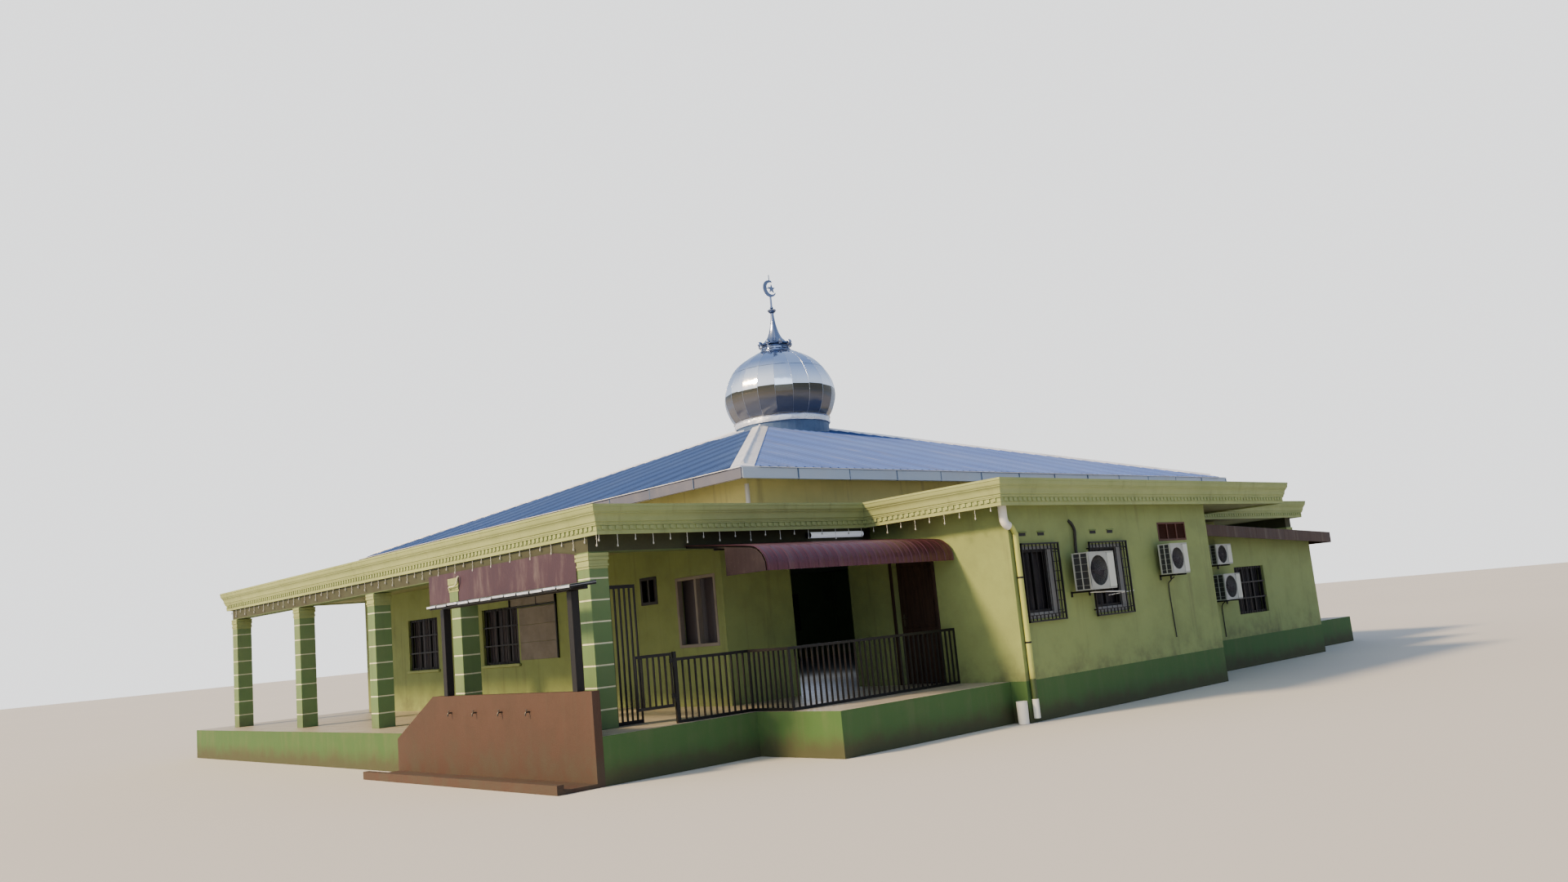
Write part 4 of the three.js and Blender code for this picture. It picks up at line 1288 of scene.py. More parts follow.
@dataclass
class Columns:
    """Square columns in rendered blocks, with cream lines between them and stepped heads."""

    size: float = 0.3
    proud: float = 0.009
    pitch: float = 0.305
    top: float = 2.865
    first: float = 2.73
    line: float = 0.022
    steps: Path = (
        (0.012, 2.865, 2.90), (0.022, 2.90, 2.93), (0.014, 2.93, 2.985), (0.026, 2.985, 3.03),
        (0.02, 3.03, 3.045), (0.026, 3.045, 3.09),
    )

    def _round(self, form: Form, x: float, y: float, proud: float, z: Pair) -> None:
        """Adds a block that wraps one column and stands proud of it."""
        form.box(x - proud, x + self.size + proud, y - proud, y + self.size + proud, *z)

    def build(self) -> None:
        """Builds the blocks, the lines and the heads."""
        blocks, lines, heads = Form(), Form(), Form()
        levels = [self.first - k * self.pitch for k in range(7)]
        half, foot = self.line / 2, FLOOR + GAP
        spans = [
            (low + half if low > foot else low, top - half if top < self.top else top)
            for top, low in zip([self.top, *levels], [*levels, foot])
        ]
        for x, y in ((x, y) for x in (-RING_X, RING_X - self.size) for y in COLUMN_FACES):
            for z in spans:
                self._round(blocks, x, y, self.proud, z)
            for z in levels:
                self._round(lines, x, y, self.proud * 0.55, about(z, 0.012))
            for proud, *z in self.steps:
                self._round(heads, x, y, proud, z)
        blocks.piece("column_blocks", Look.GREEN, Slot.COLUMN, bevel=0.005)
        lines.piece("column_lines", Look.CREAM, Slot.COLUMN)
        heads.piece("column_heads", Look.LIME_TRIM, Slot.COLUMN, bevel=0.004)
        dress(Look.GREEN, "colonnade_left", "colonnade_right", "porch_beam")
        dress(Look.SLAB, *(f"flat_roof_{s}" for s in ("left", "right", "front", "rear")))


# Windows, vents and the door


@dataclass(frozen=True)
class Opening:
    """A window's place on its wall: its span along the wall and its span in height."""

    face: Face
    a: Pair
    z: Pair

    def frame(self, form: Form, wide: float, o: Pair, panes: int = 2) -> None:
        """Adds a frame with upright bars between the panes.

        Args:
            form: Takes the frame.
            wide: The width of its members.
            o: Their span out from the wall's face.
            panes: How many panes stand side by side.
        """
        (a0, a1), (z0, z1) = self.a, self.z
        for z in ((z0 + SLACK, z0 + wide), (z1 - wide, z1 - SLACK)):
            form.block(self.face, (a0 + SLACK, a1 - SLACK), o, z)
        for k in range(panes + 1):
            a = a0 + SLACK + (a1 - a0 - 2 * SLACK - wide) * k / panes
            form.block(self.face, (a, a + wide), o, (z0 + wide, z1 - wide))

    def bars(self, form: Form, pitch: float, o: float) -> None:
        """Adds upright round bars through two flat rails.

        Args:
            form: Takes the bars.
            pitch: The distance between the bars.
            o: Where they stand, out from the wall's face.
        """
        (a0, a1), (z0, z1) = self.a, self.z
        for a in between(a0, a1, round((a1 - a0) / pitch)):
            form.tube([self.face.point(a, o, z0 + 0.004), self.face.point(a, o, z1 - 0.004)], 0.008, 6)
        for z in between(z0, z1, 3):
            form.block(self.face, (a0 + 0.003, a1 - 0.003), about(o, 0.006), about(z, 0.015))


@dataclass
class HallWindows:
    """Windows of the hall: two plain ones by the porch, and barred ones round the other sides."""

    plain: tuple[Opening, ...] = (
        Opening(LEFT_WALL, (-6.80, -5.73), (1.59, 2.76)),
        Opening(LEFT_WALL, (-5.20, -4.71), (2.37, 2.85)),
    )
    barred: tuple[Opening, ...] = (
        Opening(LEFT_WALL, (-0.42, 1.05), (1.54, 2.68)),
        Opening(LEFT_WALL, (3.12, 4.59), (1.54, 2.68)),
        *(Opening(RIGHT_WALL, (y - 0.735, y + 0.735), (1.54, 2.68)) for y in (-4.5, 0.0, 4.5)),
        *(Opening(REAR_WALL, (x - 0.6, x + 0.6), (1.54, 2.68)) for x in (-5.7, -1.9, 1.9, 5.7)),
    )
    board: Opening = Opening(LEFT_WALL, (-1.88, -0.51), (1.59, 2.62))

    def build(self) -> None:
        """Builds the frames, the bars and the sills, and dresses the glass."""
        pale, dark, bars, sills = Form(), Form(), Form(), Form()
        for window, form in zip(self.plain, (pale, dark)):
            window.frame(form, 0.055, (-0.09, 0.006))
        for window in self.barred:
            window.frame(dark, 0.05, SASH, 3)
            window.bars(bars, 0.13, -0.025)
            (a0, a1), (z0, _) = window.a, window.z
            sills.block(window.face, (a0 - 0.05, a1 + 0.05), (GAP, 0.05), (z0 - 0.06, z0 - 0.005))
        pale.piece("hall_window_frames", Look.FRAME, Slot.WHITE, bevel=0.004)
        dark.piece("hall_window_sashes", Look.DARK, Slot.DARK, bevel=0.003)
        bars.piece("hall_window_bars", Look.DARK, Slot.DARK)
        sills.piece("hall_window_sills", Look.LIME_TRIM, Slot.WALL, bevel=0.006)
        self.build_board()
        dress(Look.HALL_PANE, "hall_glass_left", "hall_glass_right", "hall_glass_rear")
        dress(Look.PANE, "front_room_glass", "wing_glass")

    def build_board(self) -> None:
        """Builds the grey board in three leaves beside the left window, with its dark rim."""
        slab, rim = Form(), Form()
        (a0, a1), (z0, z1) = self.board.a, self.board.z
        edges = [z0, *between(z0, z1, 3), z1]
        for k, (low, high) in enumerate(zip(edges, edges[1:])):
            slab.block(LEFT_WALL, (a0, a1), (GAP, 0.02 + 0.002 * k), (low + SLACK, high - SLACK))
        slab.block(LEFT_WALL, (a0 - 0.02, a1 + 0.3), (GAP, 0.03), (z1 + 0.05, z1 + 0.24))
        slab.piece("veranda_board", Look.STONE, Slot.WALL, bevel=0.003)
        for a in (a0 - 0.05, a0 + 0.66, a1 + 0.35):
            rim.block(LEFT_WALL, (a, a + 0.03), (GAP, 0.034), (z1 + 0.04, z1 + 0.25))
        rim.block(LEFT_WALL, (a0 - 0.05, a0 - 0.012), (GAP, 0.034), (z0, z1 + 0.24))
        rim.block(LEFT_WALL, (a0 - 0.05, a1 + 0.38), (GAP, 0.036), (z1 + 0.012, z1 + 0.04))
        rim.piece("veranda_board_rim", Look.DARK, Slot.DARK, bevel=0.002)


@dataclass
class FrontWindows:
    """Front room and wing windows: black grilles that stand off the wall, vents and a louvre."""

    grilles: tuple[tuple[Opening, Opening], ...] = (
        (Opening(BLOCK_WALL, (-4.98, -4.08), (1.55, 2.70)), Opening(BLOCK_WALL, (-5.04, -4.03), (1.50, 2.74))),
        (Opening(BLOCK_WALL, (-3.10, -2.06), (1.53, 2.68)), Opening(BLOCK_WALL, (-3.16, -2.01), (1.48, 2.72))),
    )
    louvre: Opening = Opening(BLOCK_WALL, (-0.81, 0.17), (2.68, 3.02))
    wing: Opening = Opening(WING_WALL, (4.12, 5.45), (1.11, 2.12))
    vents: tuple[float, ...] = (-4.88, -4.385, -2.90, -2.38)
    vent_z: float = 2.885
    border: float = 0.105
    rim: float = 0.024

    def _grille(self, form: Form, outer: Opening) -> None:
        """Adds a grille with a border of small squares and widely spaced bars.

        Args:
            form: Takes the grille.
            outer: Its outline.
        """
        face, (a0, a1), (z0, z1) = outer.face, outer.a, outer.z
        inner, low, high = a1 - 2 * self.border, z0 + self.border, z1 - self.border
        form.border(face, (a0, a1), (0.05, 0.078), (z0, z1), self.rim)
        flats = [((a0, a1), about(z, 0.006)) for z in (low, high)]
        flats += [(about(a, 0.006), (z0, z1)) for a in (a1 - self.border, inner)]
        for a in between(a0, a1, round((a1 - a0) / self.border)):
            flats += [(about(a, 0.005), z) for z in ((z0, low), (high, z1))]
        flats += [((inner, a1), about(z, 0.005)) for z in between(z0, z1, round((z1 - z0) / (1.5 * self.border)))]
        for a, z in flats:
            form.block(face, a, (0.055, 0.072), z)
        for a in between(a0, inner, 6):
            form.tube([face.point(a, 0.0635, low), face.point(a, 0.0635, high)], 0.006, 6)
        for a in (a0 + 0.01, a1 - 0.026):
            for z in (z0 + 0.1, z1 - 0.12):
                form.block(face, (a, a + 0.016), (GAP, 0.055), (z, z + 0.02))

    def build(self) -> None:
        """Builds the window fittings of the front."""
        grilles, casings, sashes = Form(), Form(), Form()
        for hole, outer in self.grilles:
            self._grille(grilles, outer)
            face, (a0, a1), (z0, z1) = hole.face, hole.a, hole.z
            side, sill, head = a1 - 0.17, z0 + 0.10, z1 - 0.06
            for a, z in (
                ((side, a1 - SLACK), (z0 + SLACK, z1 - SLACK)),
                ((a0 + SLACK, side), (z0 + SLACK, sill)),
                ((a0 + SLACK, side), (head, z1 - SLACK)),
            ):
                casings.block(face, a, (-0.06, -0.012), z)
            Opening(face, (a0, side), (sill, head)).frame(sashes, 0.04, SASH)
        self.wing.frame(sashes, 0.05, SASH, 3)
        self.wing.bars(grilles, 0.11, -0.02)
        grilles.piece("front_grilles", Look.DARK, Slot.DARK, bevel=0.0015)
        casings.piece("front_window_casings", Look.SLEEVE, Slot.WHITE, bevel=0.003)
        sashes.piece("front_window_sashes", Look.DARK, Slot.DARK, bevel=0.003)
        self.build_vents()

    def build_vents(self) -> None:
        """Builds the louvre with its sloping blades and the small hooded vents over the windows."""
        louvre, hoods, slots = Form(), Form(), Form()
        self.louvre.frame(louvre, 0.035, (-0.05, 0.004), 3)
        (a0, a1), (z0, z1) = self.louvre.a, self.louvre.z
        for z in (z0 + 0.04 + (z1 - z0 - 0.08) * k / 8 for k in range(8)):
            outline = [(-0.01, z), (-0.005, z - 0.004), (-0.045, z + 0.04), (-0.05, z + 0.044)]
            louvre.loft([[BLOCK_WALL.point(a, o, h) for o, h in outline] for a in (a0 + 0.02, a1 - 0.02)])
        z = self.vent_z
        lip = [(GAP, z + 0.045), (0.03, z + 0.03), (0.03, z + 0.024), (GAP, z + 0.032)]
        for a in self.vents:
            hoods.loft([[BLOCK_WALL.point(e, o, h) for o, h in lip] for e in about(a, 0.1)])
            slots.block(BLOCK_WALL, about(a, 0.085), (GAP, 0.005), about(z, 0.025))
        louvre.piece("front_louvre", Look.LOUVRE, Slot.BROWN)
        hoods.piece("vent_hoods", Look.LIME, Slot.WALL)
        slots.piece("vent_slots", Look.DARK, Slot.DARK)


@dataclass
class Doorway:
    """The front room's timber door in its frame, on the return wall."""

    y: Pair = (-8.92, -8.03)
    head: float = 2.73
    trim: float = 0.06
    member: float = 0.022
    leaf_y: Pair = (-8.912, -8.038)
    leaf_z: Pair = (0.638, 2.722)
    leaf_x: Pair = (-5.12, -5.0803)
    handle: Path = ((0.065, 0.004, 1.74), (0.065, 0.04, 1.74), (0.075, 0.045, 1.74), (0.17, 0.045, 1.735))

    def build(self) -> None:
        """Builds the frame round the doorway, and the mouldings and handles on the leaf."""
        (y0, y1), top = self.y, self.head
        surround, panels, handles = Form(), Form(), Form()
        out, edge = (GAP, 0.022), top + self.trim
        for a in ((y0 - self.trim, y0 - SLACK), (y1 + SLACK, y1 + self.trim)):
            surround.block(RETURN_WALL, a, out, (FLOOR + SLACK, edge))
        surround.block(RETURN_WALL, (y0 - SLACK, y1 + SLACK), out, (top + SLACK, edge))
        surround.piece("door_architrave", Look.DOOR, Slot.TIMBER, bevel=0.004)
        dress(Look.DOOR, "front_room_door")
        (a0, a1), (z0, z1) = self.leaf_y, self.leaf_z
        middle = (a0 + a1) / 2
        for face in (Face(Run.Y, self.leaf_x[0], -1), Face(Run.Y, self.leaf_x[1], 1)):
            for low, high in ((z0 + 0.2, z0 + 0.8), (z0 + 0.92, z1 - 0.12)):
                for left, right in ((a0 + 0.11, middle - 0.05), (middle + 0.05, a1 - 0.11)):
                    panels.border(face, (left, right), (0.0, 0.006), (low, high), self.member)
                    panels.block(face, (left + 0.06, right - 0.06), (0.0, 0.0045), (low + 0.06, high - 0.06))
            handles.block(face, (a1 - 0.085, a1 - 0.045), (0.0, 0.004), (1.6, 1.8))
            handles.tube([face.point(a1 - d, o, z) for d, o, z in self.handle], 0.008, 8)
        panels.piece("door_mouldings", Look.DOOR, Slot.TIMBER, body=Body.DOOR, bevel=0.003)
        handles.piece("door_handles", Look.BRASS, Slot.DARK, body=Body.DOOR, smooth=40)


# Cooling units


@dataclass(frozen=True)
class Cooler:
    """An outdoor cooling unit: open coil on its left side, fan behind a guard, closed box on its right."""

    name: str
    x: Pair
    y: Pair
    z: Pair
    stands_for: tuple[str, ...] = ()
    wall: float = BLOCK_FRONT
    solid_share: float = 0.27
    tray: float = 0.02
    post: float = 0.03
    inset: float = 0.004
    hub: Outline = ((0, -0.02), (0.05, -0.02), (0.05, 0.05), (0.03, 0.06), (0, 0.06))

    def _front(self, casing: Form, middle: float, right: float, radius: float) -> None:
        """Adds the front panel with its round hole.

        Args:
            casing: Takes the panel.
            middle: The fan's place along the front.
            right: The panel's right end.
            radius: The hole's radius.
        """
        x0, y, (z0, z1) = self.x[0], self.y[0], self.z
        centre, outer, inner = (z0 + z1) / 2, [], []
        for t in turns(40, math.pi / 40):
            c, s = math.cos(t), math.sin(t)
            wide = ((right - middle) if c > 0 else (middle - x0 - 0.012)) / max(abs(c), 1e-6)
            reach = min(wide, ((z1 - z0) / 2 - self.tray) / max(abs(s), 1e-6))
            outer.append((middle + c * reach, centre + s * reach))
            inner.append((middle + c * radius, centre + s * radius))
        order = ((outer, self.inset), (inner, self.inset), (inner, 0.018), (outer, 0.018))
        casing.loft([[(x, y + depth, z) for x, z in ring] for ring, depth in order], closed=True)

    def _fan(self, dark: Form, middle: float, radius: float) -> None:
        """Adds the fan's blades and hub, and the round guard in front of them.

        Args:
            dark: Takes them.
            middle: The fan's place along the front.
            radius: The guard's radius.
        """
        y, centre = self.y[0], sum(self.z) / 2
        blade = [(0.03, -0.02, 0.02), (0.95 * radius, -0.03, 0.07), (0.98 * radius, 0.0, -0.05), (0.04, 0.02, -0.03)]
        under = [(bx, by + 0.006, bz) for bx, by, bz in blade]
        for turn in turns(3, 0.3):
            spin = Matrix.Translation((middle, y + 0.09, centre)) @ Matrix.Rotation(turn, 4, "Y")
            dark.join(Form().loft([blade, under]).moved(spin))
        rings = Form()
        for k in range(1, 8):
            rings.hoop(about(radius * k / 7 * 0.99, 0.0025), (-0.002, 0.002))
        for form, depth in ((Form().lathe(self.hub, 20), 0.12), (rings, 0.006)):
            tip = Matrix.Translation((middle, y + depth, centre)) @ Matrix.Rotation(math.pi / 2, 4, "X")
            dark.join(form.moved(tip))
        for t in (math.pi * k / 8 for k in range(8)):
            dark.tube([
                (middle + s * radius * math.cos(t), y + 0.008, centre + s * radius * math.sin(t)) for s in (-1, 1)
            ], 0.003, 5)

    def build(self) -> None:
        """Builds the casing, the coil, the fan, the guard and the bracket."""
        (x0, x1), (y0, y1), (z0, z1) = self.x, self.y, self.z
        low, high, right = z0 + self.tray, z1 - self.tray, x1 - self.solid_share * (x1 - x0)
        front, left = y0 + self.inset, x0 + self.post
        middle, radius = (left + right) / 2, min(0.43 * (z1 - z0), 0.47 * (right - left))
        casing, coil, dark, closed, bracket = (Form() for _ in range(5))
        for box in (
            (x0, x1, y0, y1, high, z1), (x0, x1, front, y1, z0, low), (right, x1, front, y1, low, high),
            (x0, left, front, y0 + self.post, low, high), (x0, left, y1 - self.post, y1, low, high),
            (x0, x0 + 0.012, *about((y0 + y1) / 2, 0.01), low, high),
        ):
            casing.box(*box)
        self._front(casing, middle, right, radius)
        for z in (z0 + 0.08 + k * (z1 - z0 - 0.16) / 4 for k in range(5)):
            casing.box(x0 + 0.001, x0 + 0.007, y0 + self.post, y1 - self.post, *about(z, 0.003))
        coil.box(x0 + 0.012, x0 + 0.035, y0 + 0.04, y1 - 0.01, low, high)
        coil.box(x0 + 0.035, right, y1 - 0.035, y1 - 0.008, low, high)
        for y in (y0 + 0.045 + k * (y1 - y0 - 0.06) / 24 for k in range(24)):
            coil.box(x0 + 0.008, x0 + 0.012, y, y + 0.004, z0 + 0.025, z1 - 0.025)
        self._fan(dark, middle, radius)
        closed.box(right + 0.006, x1 - 0.006, y0 - 0.002, y0 + 0.0035, z0 + 0.03, z1 - 0.03)
        for x in (x0 + 0.12, x1 - 0.12):
            bracket.box(*about(x, 0.015), y0 + 0.02, self.wall - GAP, z0 - 0.03, z0 - 0.002)
            bracket.box(*about(x, 0.015), self.wall - 0.02, self.wall - GAP, z0 - 0.09, z0)
        casing.piece(f"{self.name}_casing", Look.CASING, Slot.WHITE, self.stands_for, bevel=0.004)
        coil.piece(f"{self.name}_coil", Look.COIL, Slot.DARK)
        dark.piece(f"{self.name}_fan", Look.VIOLET, Slot.DARK, smooth=35)
        closed.piece(f"{self.name}_side_panel", Look.BOX, Slot.WHITE, bevel=0.002)
        bracket.piece(f"{self.name}_bracket", Look.DARK, Slot.DARK, bevel=0.002)


@dataclass
class Coolers:
    """The four cooling units of the front, with their pipes."""

    units: tuple[Cooler, ...] = (
        Cooler("left_cooler", (-3.86, -3.11), (-11.037, -10.73), (1.92, 2.53), ("cooler_left",)),
        Cooler("middle_cooler", (-1.06, -0.46), (-10.90, -10.66), (2.07, 2.61), ("cooler_right",)),
        Cooler("wing_cooler_low", (3.02, 3.72), (-9.70, -9.42), (1.46, 2.0), wall=WING_FRONT),
        Cooler("wing_cooler_high", (2.90, 3.55), (-9.68, -9.42), (2.2, 2.62), wall=WING_FRONT),
    )
    sleeve: Path = (
        (-3.53, -10.735, 2.40), (-3.53, -10.66, 2.44), (-3.52, -10.605, 2.55), (-3.49, -10.595, 2.78),
        (-3.475, -10.595, 2.92), (-3.53, -10.59, 3.03), (-3.58, -10.561, 3.09),
    )
    middle_pipe: Path = (
        (-0.73, -10.72, 2.02), (-0.72, -10.62, 1.95), (-0.72, -10.578, 1.85), (-0.70, -10.576, 1.3),
        (-0.68, -10.576, 0.95),
    )
    wing_pipe: Path = ((3.3, -9.5, 1.42), (3.32, -9.42, 1.36), (3.33, -9.40, 1.2), (3.34, -9.40, 0.7))

    def build(self) -> None:
        """Builds the units, their pipes and the drain under the left one."""
        for unit in self.units:
            unit.build()
        pipes, drain = Form(), Form()
        pipes.tube(smooth_run(self.sleeve, 4), 0.024, 8)
        pipes.tube(smooth_run(self.middle_pipe, 4), 0.009, 6)
        pipes.tube(smooth_run(self.wing_pipe, 3), 0.01, 6)
        pipes.piece("cooler_pipes", Look.HOSE, Slot.DARK, smooth=50)
        drain.tube([(-3.7, -10.9, 1.885), (-3.0, -10.80, 1.87), (-2.2, -10.60, 1.85)], 0.012, 6)
        drain.tube([(-2.72, -10.60, 1.81), (-1.93, -10.60, 1.85)], 0.009, 6)
        drain.piece("cooler_drain", Look.WHITE, Slot.WHITE, smooth=50)


# Porch, wash place, wing and pipes


@dataclass
class Porch:
    """Porch fittings: the red awning with its side, the tube lamp and the barred railings."""

    x: Pair = (-9.33, -5.2303)
    profile: Outline = (
        (-7.6103, 3.135), (-8.2, 3.074), (-8.8, 3.01), (-9.13, 2.97), (-9.26, 2.93), (-9.36, 2.85), (-9.415, 2.77),
        (-9.437, 2.71), (-9.44, 2.66), (-9.44, 2.604),
    )
    pitch: float = 0.2
    ribs: Outline = (
        (0.0, 0.0), (0.016, 0.008), (0.032, 0.008), (0.048, 0.0), (0.12, 0.0), (0.13, 0.003), (0.14, 0.0),
    )
    cheek: Outline = (
        (-9.425, 2.604), (-8.555, 2.604), (-8.555, 3.02), (-9.13, 2.955), (-9.26, 2.915), (-9.36, 2.835), (-9.42, 2.72),
    )
    lamp: Pair = (-7.664, 3.245)

    def build_awning(self) -> None:
        """Builds the ribbed sheet that bends down at its front edge, and the arms that carry it."""
        line = [Vector((y, z)) for y, z in smooth_run(self.profile, 2)]
        normals, rings = [], []
        for i in range(len(line)):
            d = (line[min(i + 1, len(line) - 1)] - line[max(i - 1, 0)]).normalized()
            normals.append(Vector((d.y, -d.x)))
        for k in range(int((self.x[1] - self.x[0]) / self.pitch) + 1):
            for x, h in ((self.x[0] + k * self.pitch + d, h) for d, h in self.ribs):
                if x <= self.x[1]:
                    upper = [(x, *(p - n * (h - 0.012))) for p, n in zip(line, normals)]
                    under = [(x, *(p - n * (h - 0.016))) for p, n in zip(line, normals)]
                    rings.append(upper + under[::-1])
        Form().loft(rings).piece("awning_sheet", Look.RED, Slot.RED, ["porch_awning"], smooth=25)
        cheek = Form().loft([[(x, y, z) for y, z in self.cheek] for x in (-9.328, -9.305)])
        # The flat side board takes the near-black copy of the red sheet, which is painted shade.
        cheek.piece("awning_cheek", Look.CHEEK_PAINTED_SHADE, Slot.RED, bevel=0.002)
        arms = Form()
        for x in (-9.28, -8.0, -6.7, -5.4):
            for (y0, z0), (y1, z1) in zip(self.profile[:5], self.profile[1:5]):
                arms.beam([(x, y0, z0), (x, y1, z1)], Run.X, (-0.015, 0.015), (-0.035, 0.0))
        for y, z in ((-8.3, 3.035), (-9.0, 2.96)):
            arms.box(self.x[0] + 0.02, self.x[1] - 0.002, *about(y, 0.015), z - 0.035, z - 0.005)
        arms.piece("awning_arms", Look.DARK, Slot.DARK)

    def build_lamp(self) -> None:
        """Builds the thick tube lamp on the porch beam, with its dark ends and clips."""
        tube, ends = Form(), Form()
        tube.tube([(x, *self.lamp) for x in (-6.75, -5.50)], 0.05, 20)
        for low in (-6.79, -5.50):
            ends.tube([(x, *self.lamp) for x in (low, low + 0.04)], 0.052, 20)
        for x in (-6.4, -5.85):
            ends.box(x, x + 0.02, self.lamp[0], -7.6105, 3.19, 3.30)
        # The tube glows faintly, which is painted light.
        tube.piece("tube_lamp", Look.TUBE_PAINTED_GLOW, Slot.WHITE, smooth=40)
        ends.piece("tube_lamp_ends", Look.DARK, Slot.DARK, smooth=40)

    def build(self) -> None:
        """Builds the porch's fittings."""
        self.build_awning()
        self.build_lamp()
        dress(Look.DARK, "porch_railing_front", "porch_railing_side", "porch_railing_bay", "porch_grille", "porch_gate")


@dataclass
class WashPlace:
    """Low salmon wall with taps, a narrow sheet roof on dark posts, and the maroon board behind."""

    sheet_y: Pair = (-8.50, -4.33)
    edge: Pair = (-11.93, 2.60)
    inner: Pair = (-11.52, 2.636)
    posts: Pair = (-8.13, -4.43)
    taps: tuple[float, ...] = (-4.59, -5.37, -6.14, -6.92)
    spout: Outline = ((-11.732, 0.97), (-11.765, 0.97), (-11.785, 0.965), (-11.795, 0.945), (-11.795, 0.92))
    pitch: float = 0.2
    ribs: Outline = ((0.0, 0.0), (0.02, 0.022), (0.05, 0.022), (0.07, 0.0))
    blind_y: Pair = (-7.305, -2.655)
    head: Path = (
        (2.865, 2.90, 11.072), (2.90, 2.93, 11.082), (2.93, 2.985, 11.076), (2.985, 3.045, 11.086),
        (3.045, 3.09, 11.086),
    )
    hook: Path = (
        (-11.0872, -3.44, 2.93), (-11.115, -3.47, 2.935), (-11.115, -3.52, 2.95), (-11.115, -3.66, 2.955),
        (-11.115, -3.73, 2.98), (-11.115, -3.77, 3.03), (-11.112, -3.79, 3.09), (-11.0872, -3.79, 3.10),
    )

    def build_roof(self) -> None:
        """Builds the sheet roof with its bent lips, its rails and posts."""
        (x0, z0), (x1, z1), (y0, y1) = self.edge, self.inner, self.sheet_y
        places = [(y0 + k * self.pitch + d, h) for k in range(22) for d, h in self.ribs]
        sheet = Form().sheet([[(x0, y, z0 + h), (x1, y, z1 + h)] for y, h in places if y < y1])
        sheet.piece("wash_sheet", Look.LEAN_TO, Slot.TRIM, ["wash_roof"])
        lips, steel = Form(), Form()
        for k in range(12):
            a, rise = y0 + 0.02 + k * 0.35, 0.012 * scatter(k, 4)
            lips.box(x0 - 0.004, x0 + 0.006, a, min(a + 0.31, y1), z0 - 0.024 + rise, z0 + 0.008 + rise)
        # The lips take the bright creased flashing rather than the sheet's dull finish: a painted highlight along the
        # sunlit edge.
        lips.piece("wash_sheet_lips", Look.FOIL, Slot.TRIM, bevel=0.002)
        for y in self.posts:
            steel.box(-11.728, -11.612, *about(y, 0.058), 1.2203, 2.55)
            steel.beam([(-11.92, y, 2.56), (-11.53, y, 2.595)], Run.Y, (-0.02, 0.02), (0.0, 0.035))
        steel.box(-11.70, -11.64, y0 + 0.03, y1 - 0.03, 2.55, 2.608)
        steel.box(-11.90, -11.86, y0 + 0.03, y1 - 0.03, 2.555, 2.596)
        steel.beam([(x0, y0 + 0.004, z0), (x1, y0 + 0.004, z1)], Run.Y, (0.0, 0.012), (-0.03, 0.02))
        steel.piece("wash_posts", Look.DARK, Slot.DARK, bevel=0.004)

    def build_taps(self) -> None:
        """Builds the taps on the wall."""
        form = Form()
        for y in self.taps:
            form.tube([(x, y, z) for x, z in self.spout], (0.012, 0.011, 0.011, 0.010, 0.009), 10)
            form.tube([(-11.775, y, 0.97), (-11.775, y, 1.0)], 0.007, 8)
            form.tube([(-11.775, end, 1.003) for end in about(y, 0.028)], 0.005, 8)
        form.piece("wash_taps", Look.BRASS, Slot.DARK, smooth=40)
        # The wash wall's salmon is darkened as painted shade.
        dress(Look.SALMON_PAINTED_SHADE, "wash_wall")

    def build_blind(self) -> None:
        """Builds the maroon board under the veranda's edge, a little wavy, and the column in front of it."""
        y0, y1 = self.blind_y
        rings, shaft, heads = [], Form(), Form()
        for t in (k / 60 for k in range(61)):
            y = y0 + (y1 - y0) * t
            top = 3.188 - 0.09 * max(0.0, 1 - 6 * t) ** 1.5
            wave = (0.003 * math.sin(19 * t) + 0.002 * math.sin(47 * t + 1)) * 0.5
            rings.append([(x, y, z) for x, z in oblong((-11.0655 + wave, -11.0595 + wave), (2.702, top))])
        Form().loft(rings).piece("blind_board", Look.MAROON, Slot.BLIND, ["veranda_blind"], smooth=30)
        shaft.box(-11.074, -11.0685, -3.71, -3.41, 2.701, 2.864)
        shaft.piece("blind_column_shaft", Look.GREEN, Slot.COLUMN, bevel=0.002)
        for z0, z1, out in self.head:
            heads.box(-out, -11.0685, -3.735, -3.385, z0, z1)
        heads.piece("blind_column_head", Look.LIME_TRIM, Slot.COLUMN, bevel=0.004)
        Form().tube(smooth_run(self.hook, 3), 0.012, 8).piece("column_hook", Look.CREAM, Slot.COLUMN, smooth=50)

    def build(self) -> None:
        """Builds the wash place."""
        self.build_roof()
        self.build_taps()
        self.build_blind()


